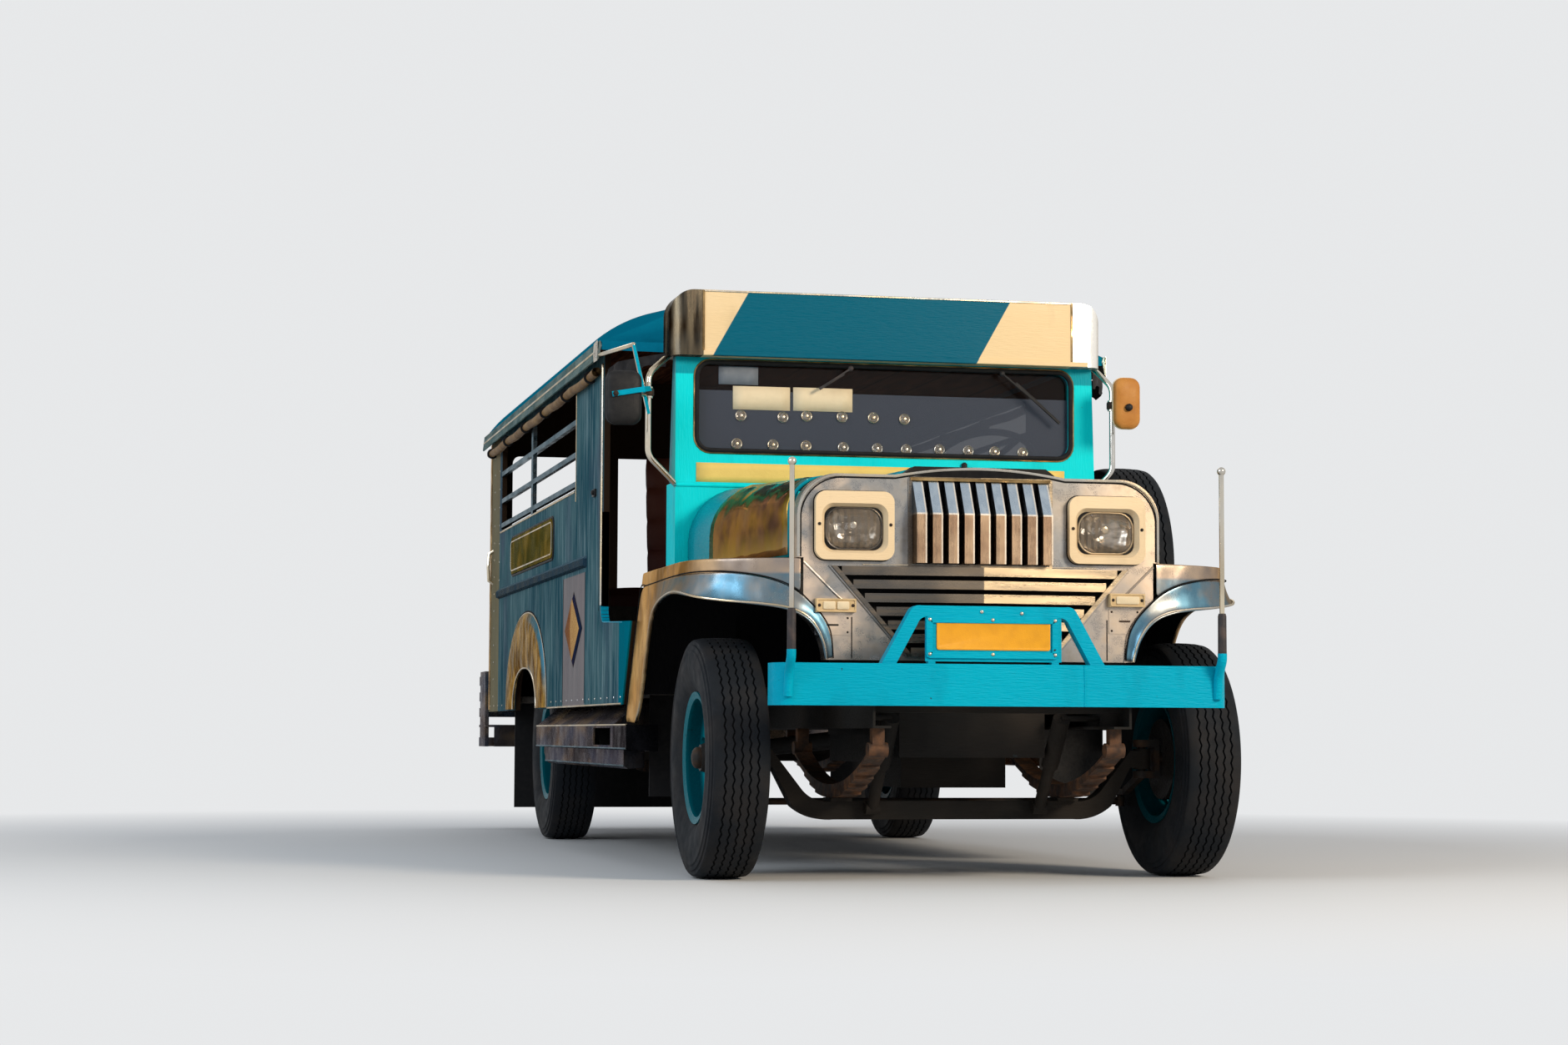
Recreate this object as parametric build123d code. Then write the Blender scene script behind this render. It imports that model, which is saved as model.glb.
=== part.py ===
from build123d import *
import os
from math import cos, hypot, pi, radians, sin

os.makedirs("parts", exist_ok=True)

# A short passenger jeepney, in millimetres, +Z up, the front facing -Y and the driver's side at +X.
# Lengths along the vehicle are stations behind the front axle, and save() moves the whole vehicle
# so that its origin is on the ground under the middle of its length.
WHEELBASE = 3720
FRONT_REACH = 714        # front axle to the feet of the guide poles
REAR_REACH = 5500        # front axle to the back of the rear step
FRONT_AXLE_Y = -(REAR_REACH - FRONT_REACH) / 2

TYRE_R = 400
TYRE_W = 205
BEAD_R = 206
FRONT_WHEEL_X = 804      # half of the front track
REAR_WHEEL_X = 794       # half of the rear track
AXLE_Z = TYRE_R
KINGPIN_X = 680
ARM_Y = 230              # the tie rod's stud behind the kingpin
TIE_ROD_Z = 250

BODY_X = 974             # half of the width over the stainless sides
WALL = 30
SKIRT_Z = 585            # lower edge of the body
FLOOR_Z = 650            # top of the floor
ROOF_EDGE_Z = 1940
ROOF_TOP_Z = 2300
ROOF_FULL_Y = 1370       # the roof reaches its full width here
ROOF_CROWN_Y = 2200      # and its full height here
BODY_REAR_Y = 5170
POST_Y = (1500, 2210)    # the broad post behind the doorway
REAR_POST_Y = 4760

GRILLE_Y = -360          # face of the grille shell
GRILLE_X = 620
GRILLE_TOP_Z = 1331
FENDER_X = 950
FENDER_Z = 1052
COWL_X = 800
COWL_Y = 880
LEDGE_Z = 1400
SCREEN_Y = 900
BUMPER_Y = -656
BUMPER_X = 754


def at_x(x):
    return lambda y, z: (x, y, z)


def at_y(y):
    return lambda x, z: (x, y, z)


def at_z(z):
    return lambda x, y: (x, y, z)


def face_of(outline, place):
    """A flat face from corners (u, v); a corner (um, vm, u, v) is reached by an arc through um, vm."""
    edges = []
    here = outline[0][-2:]
    for corner in outline[1:] + outline[:1]:
        there = corner[-2:]
        if len(corner) == 4:
            edges.append(ThreePointArc(place(*here), place(*corner[:2]), place(*there)))
        elif hypot(there[0] - here[0], there[1] - here[1]) > 0.001:
            edges.append(Line(place(*here), place(*there)))
        here = there
    return make_face(edges)


def prism_x(outline, x0, x1):
    return extrude(face_of(outline, at_x(x0)), amount=x1 - x0, dir=(1, 0, 0))


def prism_y(outline, y0, y1):
    return extrude(face_of(outline, at_y(y0)), amount=y1 - y0, dir=(0, 1, 0))


def prism_z(outline, z0, z1):
    return extrude(face_of(outline, at_z(z0)), amount=z1 - z0, dir=(0, 0, 1))


def box(x0, x1, y0, y1, z0, z1):
    return Pos((x0 + x1) / 2, (y0 + y1) / 2, (z0 + z1) / 2) * Box(x1 - x0, y1 - y0, z1 - z0)


def rod(start, end, radius):
    """A round bar between two points."""
    reach = Vector(*end) - Vector(*start)
    plane = Plane(origin=start, z_dir=reach)
    return extrude(plane * Circle(radius), amount=reach.length)


def pipe(points, bends, radius):
    """A bent round tube along straight runs joined by arcs of the given radii."""
    path = FilletPolyline(*points, radius=bends)
    return sweep(Plane(origin=path @ 0, z_dir=path % 0) * Circle(radius), path=path)


def rounded(u0, u1, v0, v1, r):
    """A rectangle with round corners, as an outline of lines and arcs."""
    k = r * (1 - cos(pi / 4))
    return [
        (u0 + r, v0),
        (u1 - r, v0), (u1 - k, v0 + k, u1, v0 + r),
        (u1, v1 - r), (u1 - k, v1 - k, u1 - r, v1),
        (u0 + r, v1), (u0 + k, v1 - k, u0, v1 - r),
        (u0, v0 + r), (u0 + k, v0 + k, u0 + r, v0),
    ]


def whole(half):
    """A closed outline, symmetric about u = 0, from its right half, which runs from bottom to top."""
    left = []
    for index in range(len(half) - 1, -1, -1):
        u, v = half[index][-2:]
        after = half[index + 1] if index + 1 < len(half) else (u, v)
        if len(after) == 4:
            left.append((-after[0], after[1], -u, v))
        else:
            left.append((-u, v))
    return half + left


def both(shape):
    """The shape and its mirror image on the other side of the vehicle."""
    return [shape, mirror(shape, about=Plane.YZ)]


def save(name, *shapes):
    solids = []
    for shape in shapes:
        for piece in shape if isinstance(shape, (list, tuple)) else [shape]:
            solids += piece.solids()
    moved = [Pos(0, FRONT_AXLE_Y, 0) * solid for solid in solids]
    export_step(moved[0] if len(moved) == 1 else Compound(children=moved), f"parts/{name}.step")


# Chassis frame: two channel rails open to the middle, tied by cross members
RAIL_X = (370, 430)
RAIL_Z = (500, 620)
RAIL_Y = (-625, 5138)
RAIL_WEB = 8
CROSS_Y = (-560, -180, 1320, 2450, 3080, 4350, 5060)


def frame_rails():
    x0, x1 = RAIL_X
    z0, z1 = RAIL_Z
    rail = box(x0, x1, *RAIL_Y, z0, z1)
    rail -= box(x0 - 1, x1 - RAIL_WEB, RAIL_Y[0] - 1, RAIL_Y[1] + 1, z0 + RAIL_WEB, z1 - RAIL_WEB)
    frame = rail + mirror(rail, about=Plane.YZ)
    for y in CROSS_Y:
        frame += box(-x1 + RAIL_WEB, x1 - RAIL_WEB, y, y + 60, z1 - 70, z1 - RAIL_WEB)
    return frame


# Front axle: a dropped forged beam with an eye for the kingpin at each end
EYE_R = 30
EYE_HALF = 35
BEAM_Y = 32


def front_axle():
    beam_half = [
        (0, 195), (420, 195), (500, 205, 560, 240), (KINGPIN_X - 52, AXLE_Z - 30),
        (KINGPIN_X - 10, AXLE_Z - 28),
        (KINGPIN_X - 10, AXLE_Z + 28), (KINGPIN_X - 50, AXLE_Z + 28), (530, 300),
        (480, 262, 420, 257), (0, 257),
    ]
    beam = prism_y(beam_half, -BEAM_Y, BEAM_Y)
    eye = Pos(KINGPIN_X, 0, AXLE_Z) * Cylinder(EYE_R, 2 * EYE_HALF)
    pad = box(360, 432, -60, 60, 257, 268)
    half = beam + eye + pad
    half -= Pos(KINGPIN_X, 0, AXLE_Z) * Cylinder(14.5, 200)
    return half + mirror(half, about=Plane.YZ)


# Leaf springs: bow-shaped packs between an eye at each end
SPRING_X = 396
SPRING_HALF_W = 32


def leaf_spring(y, sag_z, eye_z, half_span, leaves, leaf):
    """A pack whose leaves get shorter downwards, bent to one large arc through its seat."""
    rise = eye_z - sag_z
    bow_r = (half_span ** 2 + rise ** 2) / (2 * rise)
    centre_z = sag_z + bow_r
    pack = None
    for index in range(leaves):
        span = half_span * (1 - 0.16 * index)
        top_r = bow_r + leaf * index
        low_r = top_r + leaf
        a = span / bow_r
        outline = [
            (y - top_r * sin(a), centre_z - top_r * cos(a)),
            (y, centre_z - top_r, y + top_r * sin(a), centre_z - top_r * cos(a)),
            (y + low_r * sin(a), centre_z - low_r * cos(a)),
            (y, centre_z - low_r, y - low_r * sin(a), centre_z - low_r * cos(a)),
        ]
        plate = prism_x(outline, SPRING_X - SPRING_HALF_W, SPRING_X + SPRING_HALF_W)
        pack = plate if pack is None else pack + plate
    for side in (-1, 1):
        eye = Cylinder(24, 2 * SPRING_HALF_W)
        pack += Pos(SPRING_X, y + side * half_span, eye_z + 6) * Rot(0, 90, 0) * eye
        # The hanger reaches from the eye up to the rail
        pack += box(SPRING_X - 20, SPRING_X + 20, y + side * half_span - 18, y + side * half_span + 18,
                    eye_z + 20, RAIL_Z[0])
    return pack


def leaf_springs():
    front = leaf_spring(0, 313, 425, 545, 5, 9)
    rear = leaf_spring(WHEELBASE, 350, 420, 600, 5, 9)
    return both(front) + both(rear)


# Rear axle: a banjo housing with its differential, on pads over the springs
def rear_axle():
    at = Pos(0, WHEELBASE, AXLE_Z)
    across = Rot(0, 90, 0)
    axle = at * across * Cylinder(45, 2 * 700)
    axle += at * Rot(90, 0, 0) * Cylinder(150, 110)
    axle += at * Pos(0, -95, 0) * Rot(90, 0, 0) * Cone(95, 50, 110)
    for side in (-1, 1):
        axle += box(side * SPRING_X - 36, side * SPRING_X + 36, WHEELBASE - 60, WHEELBASE + 60, 353, 380)
        axle += at * Pos(side * 690, 0, 0) * across * Cylinder(70, 20)
        axle += at * Pos(side * 745, 0, 0) * across * Cylinder(20, 110)
    return axle


# Steering knuckles: a fork round the axle's eye, the kingpin, the stub axle and the steering arm
def knuckle():
    fork = prism_z([(KINGPIN_X - 30, 0, KINGPIN_X, -30), (KINGPIN_X + 55, -30), (KINGPIN_X + 55, 30),
                    (KINGPIN_X, 30)], AXLE_Z - 66, AXLE_Z + 66)
    fork -= box(KINGPIN_X - 40, KINGPIN_X + 37, -40, 40, AXLE_Z - EYE_HALF - 6, AXLE_Z + EYE_HALF + 6)
    pin = Pos(KINGPIN_X, 0, AXLE_Z) * Cylinder(14, 120)
    stub = rod((KINGPIN_X + 50, 0, AXLE_Z), (FRONT_WHEEL_X + 34, 0, AXLE_Z), 20)
    arm = prism_x([
        (0, AXLE_Z - 40), (0, AXLE_Z - 66), (ARM_Y - 60, TIE_ROD_Z + 24), (ARM_Y + 18, TIE_ROD_Z + 24),
        (ARM_Y + 18, TIE_ROD_Z + 44), (ARM_Y - 50, TIE_ROD_Z + 44),
    ], KINGPIN_X - 11, KINGPIN_X + 11)
    arm -= Pos(KINGPIN_X, ARM_Y, TIE_ROD_Z + 34) * Cylinder(7.5, 60)
    return fork + pin + stub + arm


def tie_rod():
    bar = rod((-KINGPIN_X, ARM_Y, TIE_ROD_Z), (KINGPIN_X, ARM_Y, TIE_ROD_Z), 12)
    for side in (-1, 1):
        bar += Pos(side * KINGPIN_X, ARM_Y, TIE_ROD_Z) * Cylinder(16, 34)
        bar += Pos(side * KINGPIN_X, ARM_Y, TIE_ROD_Z + 28) * Cylinder(7, 44)
    return bar


# Wheels: profiles of u, outwards along the axle from the wheel's middle, and the radius
TYRE_SECTION = [
    (-56, BEAD_R), (-66, 380), (66, 380), (56, BEAD_R), (70, BEAD_R), (TYRE_W / 2, 285), (97, 374),
    (77, TYRE_R), (-77, TYRE_R), (-97, 374), (-TYRE_W / 2, 285), (-70, BEAD_R),
]
RIM_EDGE = [
    (-76, 197), (-83, 220), (-77, 220), (-70, BEAD_R), (70, BEAD_R), (77, 220), (83, 220), (76, 197),
]
RIM_SECTION = [
    (-56, 21), (-56, 138), (-4, 140), (14, 197), *RIM_EDGE, (28, 197), (8, 110), (20, 58), (64, 44),
    (64, 0), (42, 0), (42, 21),
]
SPARE_SECTION = [(-6, 50), (-6, 140), (14, 197), *RIM_EDGE, (28, 197), (8, 110), (8, 50)]
HAND_HOLES = 5


def revolved(section, x, y, z):
    """A ring about a lateral axis from (u, radius) pairs, at a wheel's middle."""
    face = face_of(section, lambda u, r: (u, 0, r))
    return Pos(x, y, z) * revolve(face, Axis.X)


def tyre(x, y, z=AXLE_Z):
    return revolved(TYRE_SECTION, x, y, z)


def rim(x, y, z=AXLE_Z, section=RIM_SECTION):
    wheel = revolved(section, x, y, z)
    for index in range(HAND_HOLES):
        turn = 2 * pi * index / HAND_HOLES
        hole = Pos(x, y + 168 * sin(turn), z + 168 * cos(turn)) * Rot(0, 90, 0) * Cylinder(17, 90)
        wheel -= hole
    return wheel


# Driveline, tank and exhaust
def engine_block():
    """One plain block with its sump and gearbox."""
    block = box(-270, 270, -60, 680, 480, 1060)
    sump = box(-160, 210, 60, 560, 300, 480)
    gearbox = box(-130, 130, 680, 1250, 380, 540)
    return block + sump + gearbox


def drive_shaft():
    return rod((0, 1252, 470), (0, WHEELBASE - 152, 405), 36)


def fuel_tank():
    tank = prism_y(rounded(-800, -475, 375, 600, 45), 1950, 2650)
    straps = [box(-812, -463, y, y + 40, 600, 620) for y in (2080, 2480)]
    return tank + straps[0] + straps[1]


def exhaust():
    silencer = rod((560, 1900, 480), (560, 2600, 480), 80)
    front = pipe([(200, 464, 450), (560, 1150, 450), (560, 1905, 450)], 120, 22)
    silencer += front - box(150, 210, 400, 560, 400, 500)
    tail = rod((560, 2600, 535), (560, 5120, 535), 24)
    hangers = box(552, 568, 2250, 2262, 550, 619) + box(552, 568, 4850, 4862, 550, 619)
    return silencer + tail + hangers


def radiator():
    return box(-250, 250, -262, -190, 405, 1010)


# Front shock absorbers: they lean forward from a pin on the axle to one on the rail's web
SHOCK_X = 292
SHOCK_FOOT = (SHOCK_X, -62, 234)
SHOCK_MIDDLE = (SHOCK_X, -184, 378)
SHOCK_HEAD = (SHOCK_X, -318, 535)


def shock_absorbers():
    shock = rod(SHOCK_FOOT, SHOCK_MIDDLE, 20) + rod(SHOCK_MIDDLE, SHOCK_HEAD, 29)
    shock += rod((SHOCK_X - 24, *SHOCK_FOOT[1:]), (SHOCK_X + 24, *SHOCK_FOOT[1:]), 21)
    shock += box(SHOCK_X - 10, SHOCK_X + 10, SHOCK_FOOT[1], -BEAM_Y, 222, 246)
    shock += rod(SHOCK_HEAD, (RAIL_X[1] - RAIL_WEB, *SHOCK_HEAD[1:]), 9)
    return both(shock)


# Mud flaps: rubber sheets behind the wheels; the right rear one reaches inwards below the rails
FLAP_T = 6
FRONT_FLAP_Y = 985
REAR_FLAP_Y = 4420
FLAP_LOW_Z = 125


def mud_flaps():
    front = box(620, 870, FRONT_FLAP_Y, FRONT_FLAP_Y + FLAP_T, 250, RAIL_Z[1])
    right = prism_y([(-935, RAIL_Z[1]), (-435, RAIL_Z[1]), (-435, RAIL_Z[0] - 5), (-160, RAIL_Z[0] - 5),
                     (-160, FLAP_LOW_Z), (-935, FLAP_LOW_Z)], REAR_FLAP_Y, REAR_FLAP_Y + FLAP_T)
    left = box(620, 935, REAR_FLAP_Y, REAR_FLAP_Y + FLAP_T, FLAP_LOW_Z, RAIL_Z[1])
    return [*both(front), right, left]


# Front bumper: a channel with rounded ends that turn back
BUMPER_Z = (571, 705)
BUMPER_DEPTH = 110
BUMPER_BEND = 60


def front_bumper():
    k = BUMPER_BEND * (1 - cos(pi / 4))

    def plan(inset):
        back = BUMPER_Y + BUMPER_DEPTH
        x = BUMPER_X - inset
        front = BUMPER_Y + inset
        return whole([(0, back), (x, back), (x, front + BUMPER_BEND),
                      (x - k, front + k, x - BUMPER_BEND, front), (0, front)])
    bumper = prism_z(plan(0), *BUMPER_Z)
    bumper -= prism_z(plan(8), BUMPER_Z[0] + 8, BUMPER_Z[1] - 8)
    bumper -= box(-BUMPER_X + 60, BUMPER_X - 60, RAIL_Y[0], BUMPER_Y + BUMPER_DEPTH + 1,
                  BUMPER_Z[0] - 1, BUMPER_Z[1] + 1)
    horn = box(RAIL_X[0], RAIL_X[1], BUMPER_Y + 8, RAIL_Y[0], BUMPER_Z[0] + 8, RAIL_Z[1])
    return bumper + horn + mirror(horn, about=Plane.YZ)


# Guard over the bumper: a bent flat bar that carries the plate's frame
GUARD_X = -37
GUARD_TOP_Z = 890
GUARD_Y = BUMPER_Y + 12
PLATE_HOLE_SPACING = 200
PLATE_HOLE_R = 4
PLATE_HOLE_Z = 838


def plate_guard():
    z0 = BUMPER_Z[1]
    top = GUARD_TOP_Z
    bar = prism_y([
        (-370, z0), (-275, top - 15), (-262, top - 3, -240, top), (240, top), (262, top - 3, 275, top - 15),
        (370, z0), (322, z0), (252, top - 58), (238, top - 40, 215, top - 36), (-215, top - 36),
        (-238, top - 40, -252, top - 58), (-322, z0),
    ], GUARD_Y, GUARD_Y + 44)
    plate_frame = box(-226, 226, GUARD_Y + 4, GUARD_Y + 10, z0 + 8, top - 30)
    for side in (-1, 1):
        plate_frame += box(side * 205 - 12, side * 205 + 12, GUARD_Y + 4, GUARD_Y + 30, z0, top - 30)
    guard = bar + plate_frame
    for side in (-1, 1):
        hole = Rot(90, 0, 0) * Cylinder(PLATE_HOLE_R, 40)
        guard -= Pos(side * PLATE_HOLE_SPACING / 2, GUARD_Y + 7, PLATE_HOLE_Z) * hole
    return Pos(GUARD_X, 0, 0) * guard


POLE_X = 712
POLE_Y = -700
POLE_TOP_Z = 1335


def guide_poles():
    foot = box(POLE_X - 20, POLE_X + 20, POLE_Y - 14, BUMPER_Y + 4, BUMPER_Z[0] + 20, BUMPER_Z[1] + 12)
    foot -= box(POLE_X - 60, POLE_X + 60, BUMPER_Y, BUMPER_Y + 60, 400, 900)
    sleeve = Pos(POLE_X, POLE_Y, 0) * Pos(0, 0, 780) * Cylinder(13, 180)
    pole = Pos(POLE_X, POLE_Y, (870 + POLE_TOP_Z) / 2) * Cylinder(8, POLE_TOP_Z - 870)
    ball = Pos(POLE_X, POLE_Y, POLE_TOP_Z) * Sphere(14)
    return both(foot + sleeve + pole + ball)


# Grille shell: one stainless front panel with a rim, lamp openings, slat opening and lower trapezoid
SHEET = 8
SHELL_RIM_Y = -290
LANDING_Y = -238
CROWN_X = 225
CROWN_Z = 1360
APRON_X = 598
APRON_FOOT_X = 523       # the apron narrows beside the wheel openings
APRON_Z = 722
LIP_Z = 870              # height of the fender's lip where it meets the apron
LAMP_X = 431
LAMP_Z = (1047, 1272)
LAMP_HALF = 132
LENS_Z = (1081, 1220)
LENS_HALF = 97
SLAT_Z = (1038, 1312)
SLAT_X = 233
SLATS = 9
LOWER_TOP = (490, 1028)
LOWER_BOTTOM = (232, 735)


def shell_half(inset):
    """Right half of the shell's front view, from the bottom up, drawn in from its edge."""
    x = GRILLE_X - inset
    top = GRILLE_TOP_Z - inset
    return [
        (0, APRON_Z + inset), (APRON_FOOT_X - inset, APRON_Z + inset),
        (APRON_FOOT_X + 27 - inset, 814, APRON_X - inset, LIP_Z),
        (APRON_X - inset, FENDER_Z + 2 + inset / 4), (x, FENDER_Z + 2 + inset / 4), (x, 1195),
        (x - 42, 1293 - inset, x - 142, top), (CROWN_X + 40, top),
        (CROWN_X, CROWN_Z - inset), (0, CROWN_Z - inset),
    ]


def crown_half(inset, low):
    """The same line over the bonnet's end only, closed straight across at the height low."""
    return [(0, low)] + [(GRILLE_X - inset, low)] + shell_half(inset)[4:]


def grille_shell():
    shell = prism_y(whole(shell_half(0)), GRILLE_Y, SHELL_RIM_Y)
    shell -= prism_y(whole(shell_half(SHEET)), GRILLE_Y + SHEET, SHELL_RIM_Y + 1)
    landing = prism_y(whole(crown_half(20, FENDER_Z + 12)), GRILLE_Y + SHEET, LANDING_Y)
    landing -= prism_y(whole(crown_half(26, FENDER_Z + 6)), GRILLE_Y, LANDING_Y + 1)
    shell += landing
    for side in (-1, 1):
        x = side * LAMP_X
        hole = rounded(x - 110, x + 110, LAMP_Z[0] + 22, LAMP_Z[1] - 22, 20)
        shell -= prism_y(hole, GRILLE_Y - 1, GRILLE_Y + SHEET + 1)
    shell -= box(-SLAT_X, SLAT_X, GRILLE_Y - 1, GRILLE_Y + SHEET + 1, *SLAT_Z)
    shell -= prism_y([(-LOWER_BOTTOM[0], LOWER_BOTTOM[1]), (LOWER_BOTTOM[0], LOWER_BOTTOM[1]), LOWER_TOP,
                      (-LOWER_TOP[0], LOWER_TOP[1])], GRILLE_Y - 1, GRILLE_Y + SHEET + 1)
    return shell


SLAT_FOLD = (-420, 1202)
SLAT_W = 34


def grille_slats():
    """Upright folded slats: the upper part leans forward to a fold, the lower part drops straight."""
    fold_y, fold_z = SLAT_FOLD
    y = GRILLE_Y
    low, high = SLAT_Z[0] + 1, SLAT_Z[1] - 1
    side_view = [(y, low), (fold_y, low), (fold_y, fold_z), (y, high), (y + 10, high), (y + 10, low)]
    grille = box(-SLAT_X, SLAT_X, y + SHEET, y + SHEET + 8, low, low + 26)
    grille += box(-SLAT_X, SLAT_X, y + SHEET, y + SHEET + 8, high - 26, high)
    pitch = (2 * SLAT_X - SLAT_W - 2) / (SLATS - 1)
    for index in range(SLATS):
        x = -SLAT_X + 1 + index * pitch
        grille += prism_x(side_view, x, x + SLAT_W)
    return grille


LOWER_BARS = 7
LOWER_BAR_H = 29
NOSE = 42


def lower_grille():
    """Level bars, each bent to a blunt V at the middle, between slanted side strips."""
    (top_x, top_z), (bottom_x, bottom_z) = LOWER_TOP, LOWER_BOTTOM
    pitch = (top_z - bottom_z - LOWER_BAR_H) / (LOWER_BARS - 1)
    slope = (top_x - bottom_x) / (top_z - bottom_z)
    grille = None
    for index in range(LOWER_BARS):
        z = bottom_z + index * pitch
        x = bottom_x + slope * (z - bottom_z) + 6
        bar = prism_z([
            (-x, GRILLE_Y - 6), (0, GRILLE_Y - NOSE), (x, GRILLE_Y - 6),
            (x, GRILLE_Y - 1), (0, GRILLE_Y - 18), (-x, GRILLE_Y - 1),
        ], z, z + LOWER_BAR_H)
        grille = bar if grille is None else grille + bar
    for side in (-1, 1):
        grille += prism_y([
            (side * (bottom_x - 2), bottom_z), (side * (bottom_x + 16), bottom_z),
            (side * (top_x + 16), top_z), (side * (top_x - 2), top_z),
        ], GRILLE_Y - 10, GRILLE_Y)
    return grille


# Headlamps: square bezels with a deep round-cornered recess, and sealed lamps with bevelled fronts
BEZEL_FRONT_Y = GRILLE_Y - 26


def headlamp_bezels():
    x0, x1 = LAMP_X - LENS_HALF, LAMP_X + LENS_HALF
    z0, z1 = LENS_Z
    bezel = prism_y(rounded(LAMP_X - LAMP_HALF, LAMP_X + LAMP_HALF, *LAMP_Z, 36), BEZEL_FRONT_Y, GRILLE_Y)
    mouth = face_of(rounded(x0 - 14, x1 + 14, z0 - 12, z1 + 12, 40), at_y(BEZEL_FRONT_Y))
    throat = face_of(rounded(x0, x1, z0, z1, 32), at_y(GRILLE_Y))
    bezel -= loft([mouth, throat], ruled=True)
    return both(bezel)


def headlamps():
    z0, z1 = LENS_Z
    x0, x1 = LAMP_X - LENS_HALF, LAMP_X + LENS_HALF
    can = prism_y(rounded(x0, x1, z0, z1, 32), GRILLE_Y - 8, GRILLE_Y + 60)
    edge = face_of(rounded(x0, x1, z0, z1, 32), at_y(GRILLE_Y - 8))
    front = face_of(rounded(x0 + 14, x1 - 14, z0 + 14, z1 - 14, 24), at_y(GRILLE_Y - 18))
    return both(can + loft([edge, front], ruled=True))


def marker_lamps():
    """Hand-mounted, so the driver's side sits a little higher."""
    right = box(-560, -426, GRILLE_Y - 22, GRILLE_Y, 876, 920)
    left = box(440, 562, GRILLE_Y - 22, GRILLE_Y, 906, 950)
    return [right, left]


# Front fenders: an inverted tray whose lower half flares outwards, with a tail that leans down to the step
FENDER_SHEET = 6
FENDER_IN_X = 600
FENDER_FRONT_Y = -372
FENDER_CORNER_Y = -90
FLARE_Z = 1000
FLARE = 18
TAIL_TOP = (690, FENDER_Z)
TAIL_FOOT = (1010, 515)


def fender_plan(flare, inset):
    x = FENDER_X + flare - inset
    return [
        (FENDER_IN_X + inset, TAIL_FOOT[0]), (FENDER_IN_X + inset, FENDER_FRONT_Y + inset),
        (x - 130 - inset / 3, -300 - flare + inset),
        (x - 30 - inset / 3, -215 - flare + inset, x, FENDER_CORNER_Y + inset), (x, TAIL_FOOT[0]),
    ]


def fender_block(inset, low):
    block = prism_z(fender_plan(0, inset), FLARE_Z, FENDER_Z - inset)
    top = face_of(fender_plan(0, inset), at_z(FLARE_Z))
    foot = face_of(fender_plan(FLARE, inset), at_z(LIP_Z))
    block += loft([top, foot], ruled=True)
    return block + prism_z(fender_plan(FLARE, inset), low, LIP_Z)


def front_fenders():
    fender = fender_block(0, 500) - fender_block(FENDER_SHEET, 499)
    # The opening's lip peaks at the front corner, drops along the tail and curves down to the apron
    arch = prism_x([(-700, 300), (-700, 876), (-372, 880), (-260, 900, -101, 955), (200, 958, 367, 905),
                    (455, 850, 485, 790), (728, 508), (728, 300)], 500, 1000)
    front_view = prism_y([
        (590, 300), (590, LIP_Z - 2), (640, 879, 690, 885), (690, 1000), (1000, 1000), (1000, 300),
    ], -800, 1200)
    fender -= arch & front_view
    fender -= box(500, 612, FENDER_FRONT_Y + 20, 1100, 300, 850)
    fender -= box(500, 700, -500, 0, 300, APRON_Z)
    behind = [TAIL_TOP, (TAIL_TOP[0], 1200), (1200, 1200), (1200, 300), (1142, 300)]
    fender -= prism_x(behind, 500, 1000)
    fender -= box(500, 1000, 600, 1100, 300, TAIL_FOOT[1])
    fender -= box(500, FENDER_X - FENDER_SHEET, 699, 1100, 300, 1200)
    return both(fender)


# Bonnet: one shell from the grille to the cowl, widening and rising, with a raised middle
HOOD_FRONT_Y = -255
HOOD_REAR_Y = 850
HOOD_LOW_Z = 1060
HOOD_SHEET = 9
# y, half width, height at the sides, shoulder radius, crown height, height of the lower edge
HOOD_FRONT = (HOOD_FRONT_Y, 618, 1332, 118, 1358, HOOD_LOW_Z)
HOOD_REAR = (HOOD_REAR_Y, 757, 1378, 205, 1392, 1062)
HOOD_BENDS = (0, 22.5, 45, 67.5, 90)
HINGE = (862, 1385)


def hood_face(station, inset):
    y, half, top, shoulder, crown, low = station
    x = half - inset
    middle_x, middle_z = x - shoulder, top - inset - shoulder
    turns = [radians(angle) for angle in HOOD_BENDS]
    bends = [(middle_x + shoulder * cos(turn), middle_z + shoulder * sin(turn)) for turn in turns]
    return face_of(whole([
        (0, low - inset), (x, low - inset), *bends, (CROWN_X + 38, top - inset), (CROWN_X, crown - inset),
        (0, crown - inset),
    ]), at_y(y + (inset and (-1 if y < 0 else 1))))


def hood_skin(inset):
    return loft([hood_face(HOOD_FRONT, inset), hood_face(HOOD_REAR, inset)], ruled=True)


def hood():
    skin = hood_skin(0) - hood_skin(HOOD_SHEET)
    # Its lower front corners swing forward as it opens, so they are cut back from the shell's rim
    front, low = HOOD_FRONT_Y - 1, HOOD_LOW_Z - 5
    skin -= prism_x([(front, low), (front + 22, low), (front, low + 85)], -BODY_X, BODY_X)
    y, z = HINGE
    return skin + rod((-300, y, z), (300, y, z), 10) + box(-300, 300, HOOD_REAR_Y - 10, y, z - 2, z + 5)


def hood_plates():
    """Polished plates that wrap the shoulders of the bonnet."""
    plate = hood_skin(-3) - hood_skin(0)
    reach = prism_x([(-225, 1070), (600, 1070), (600, 1400), (-225, 1400)], 400, 800)
    return both(plate & reach)


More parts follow.
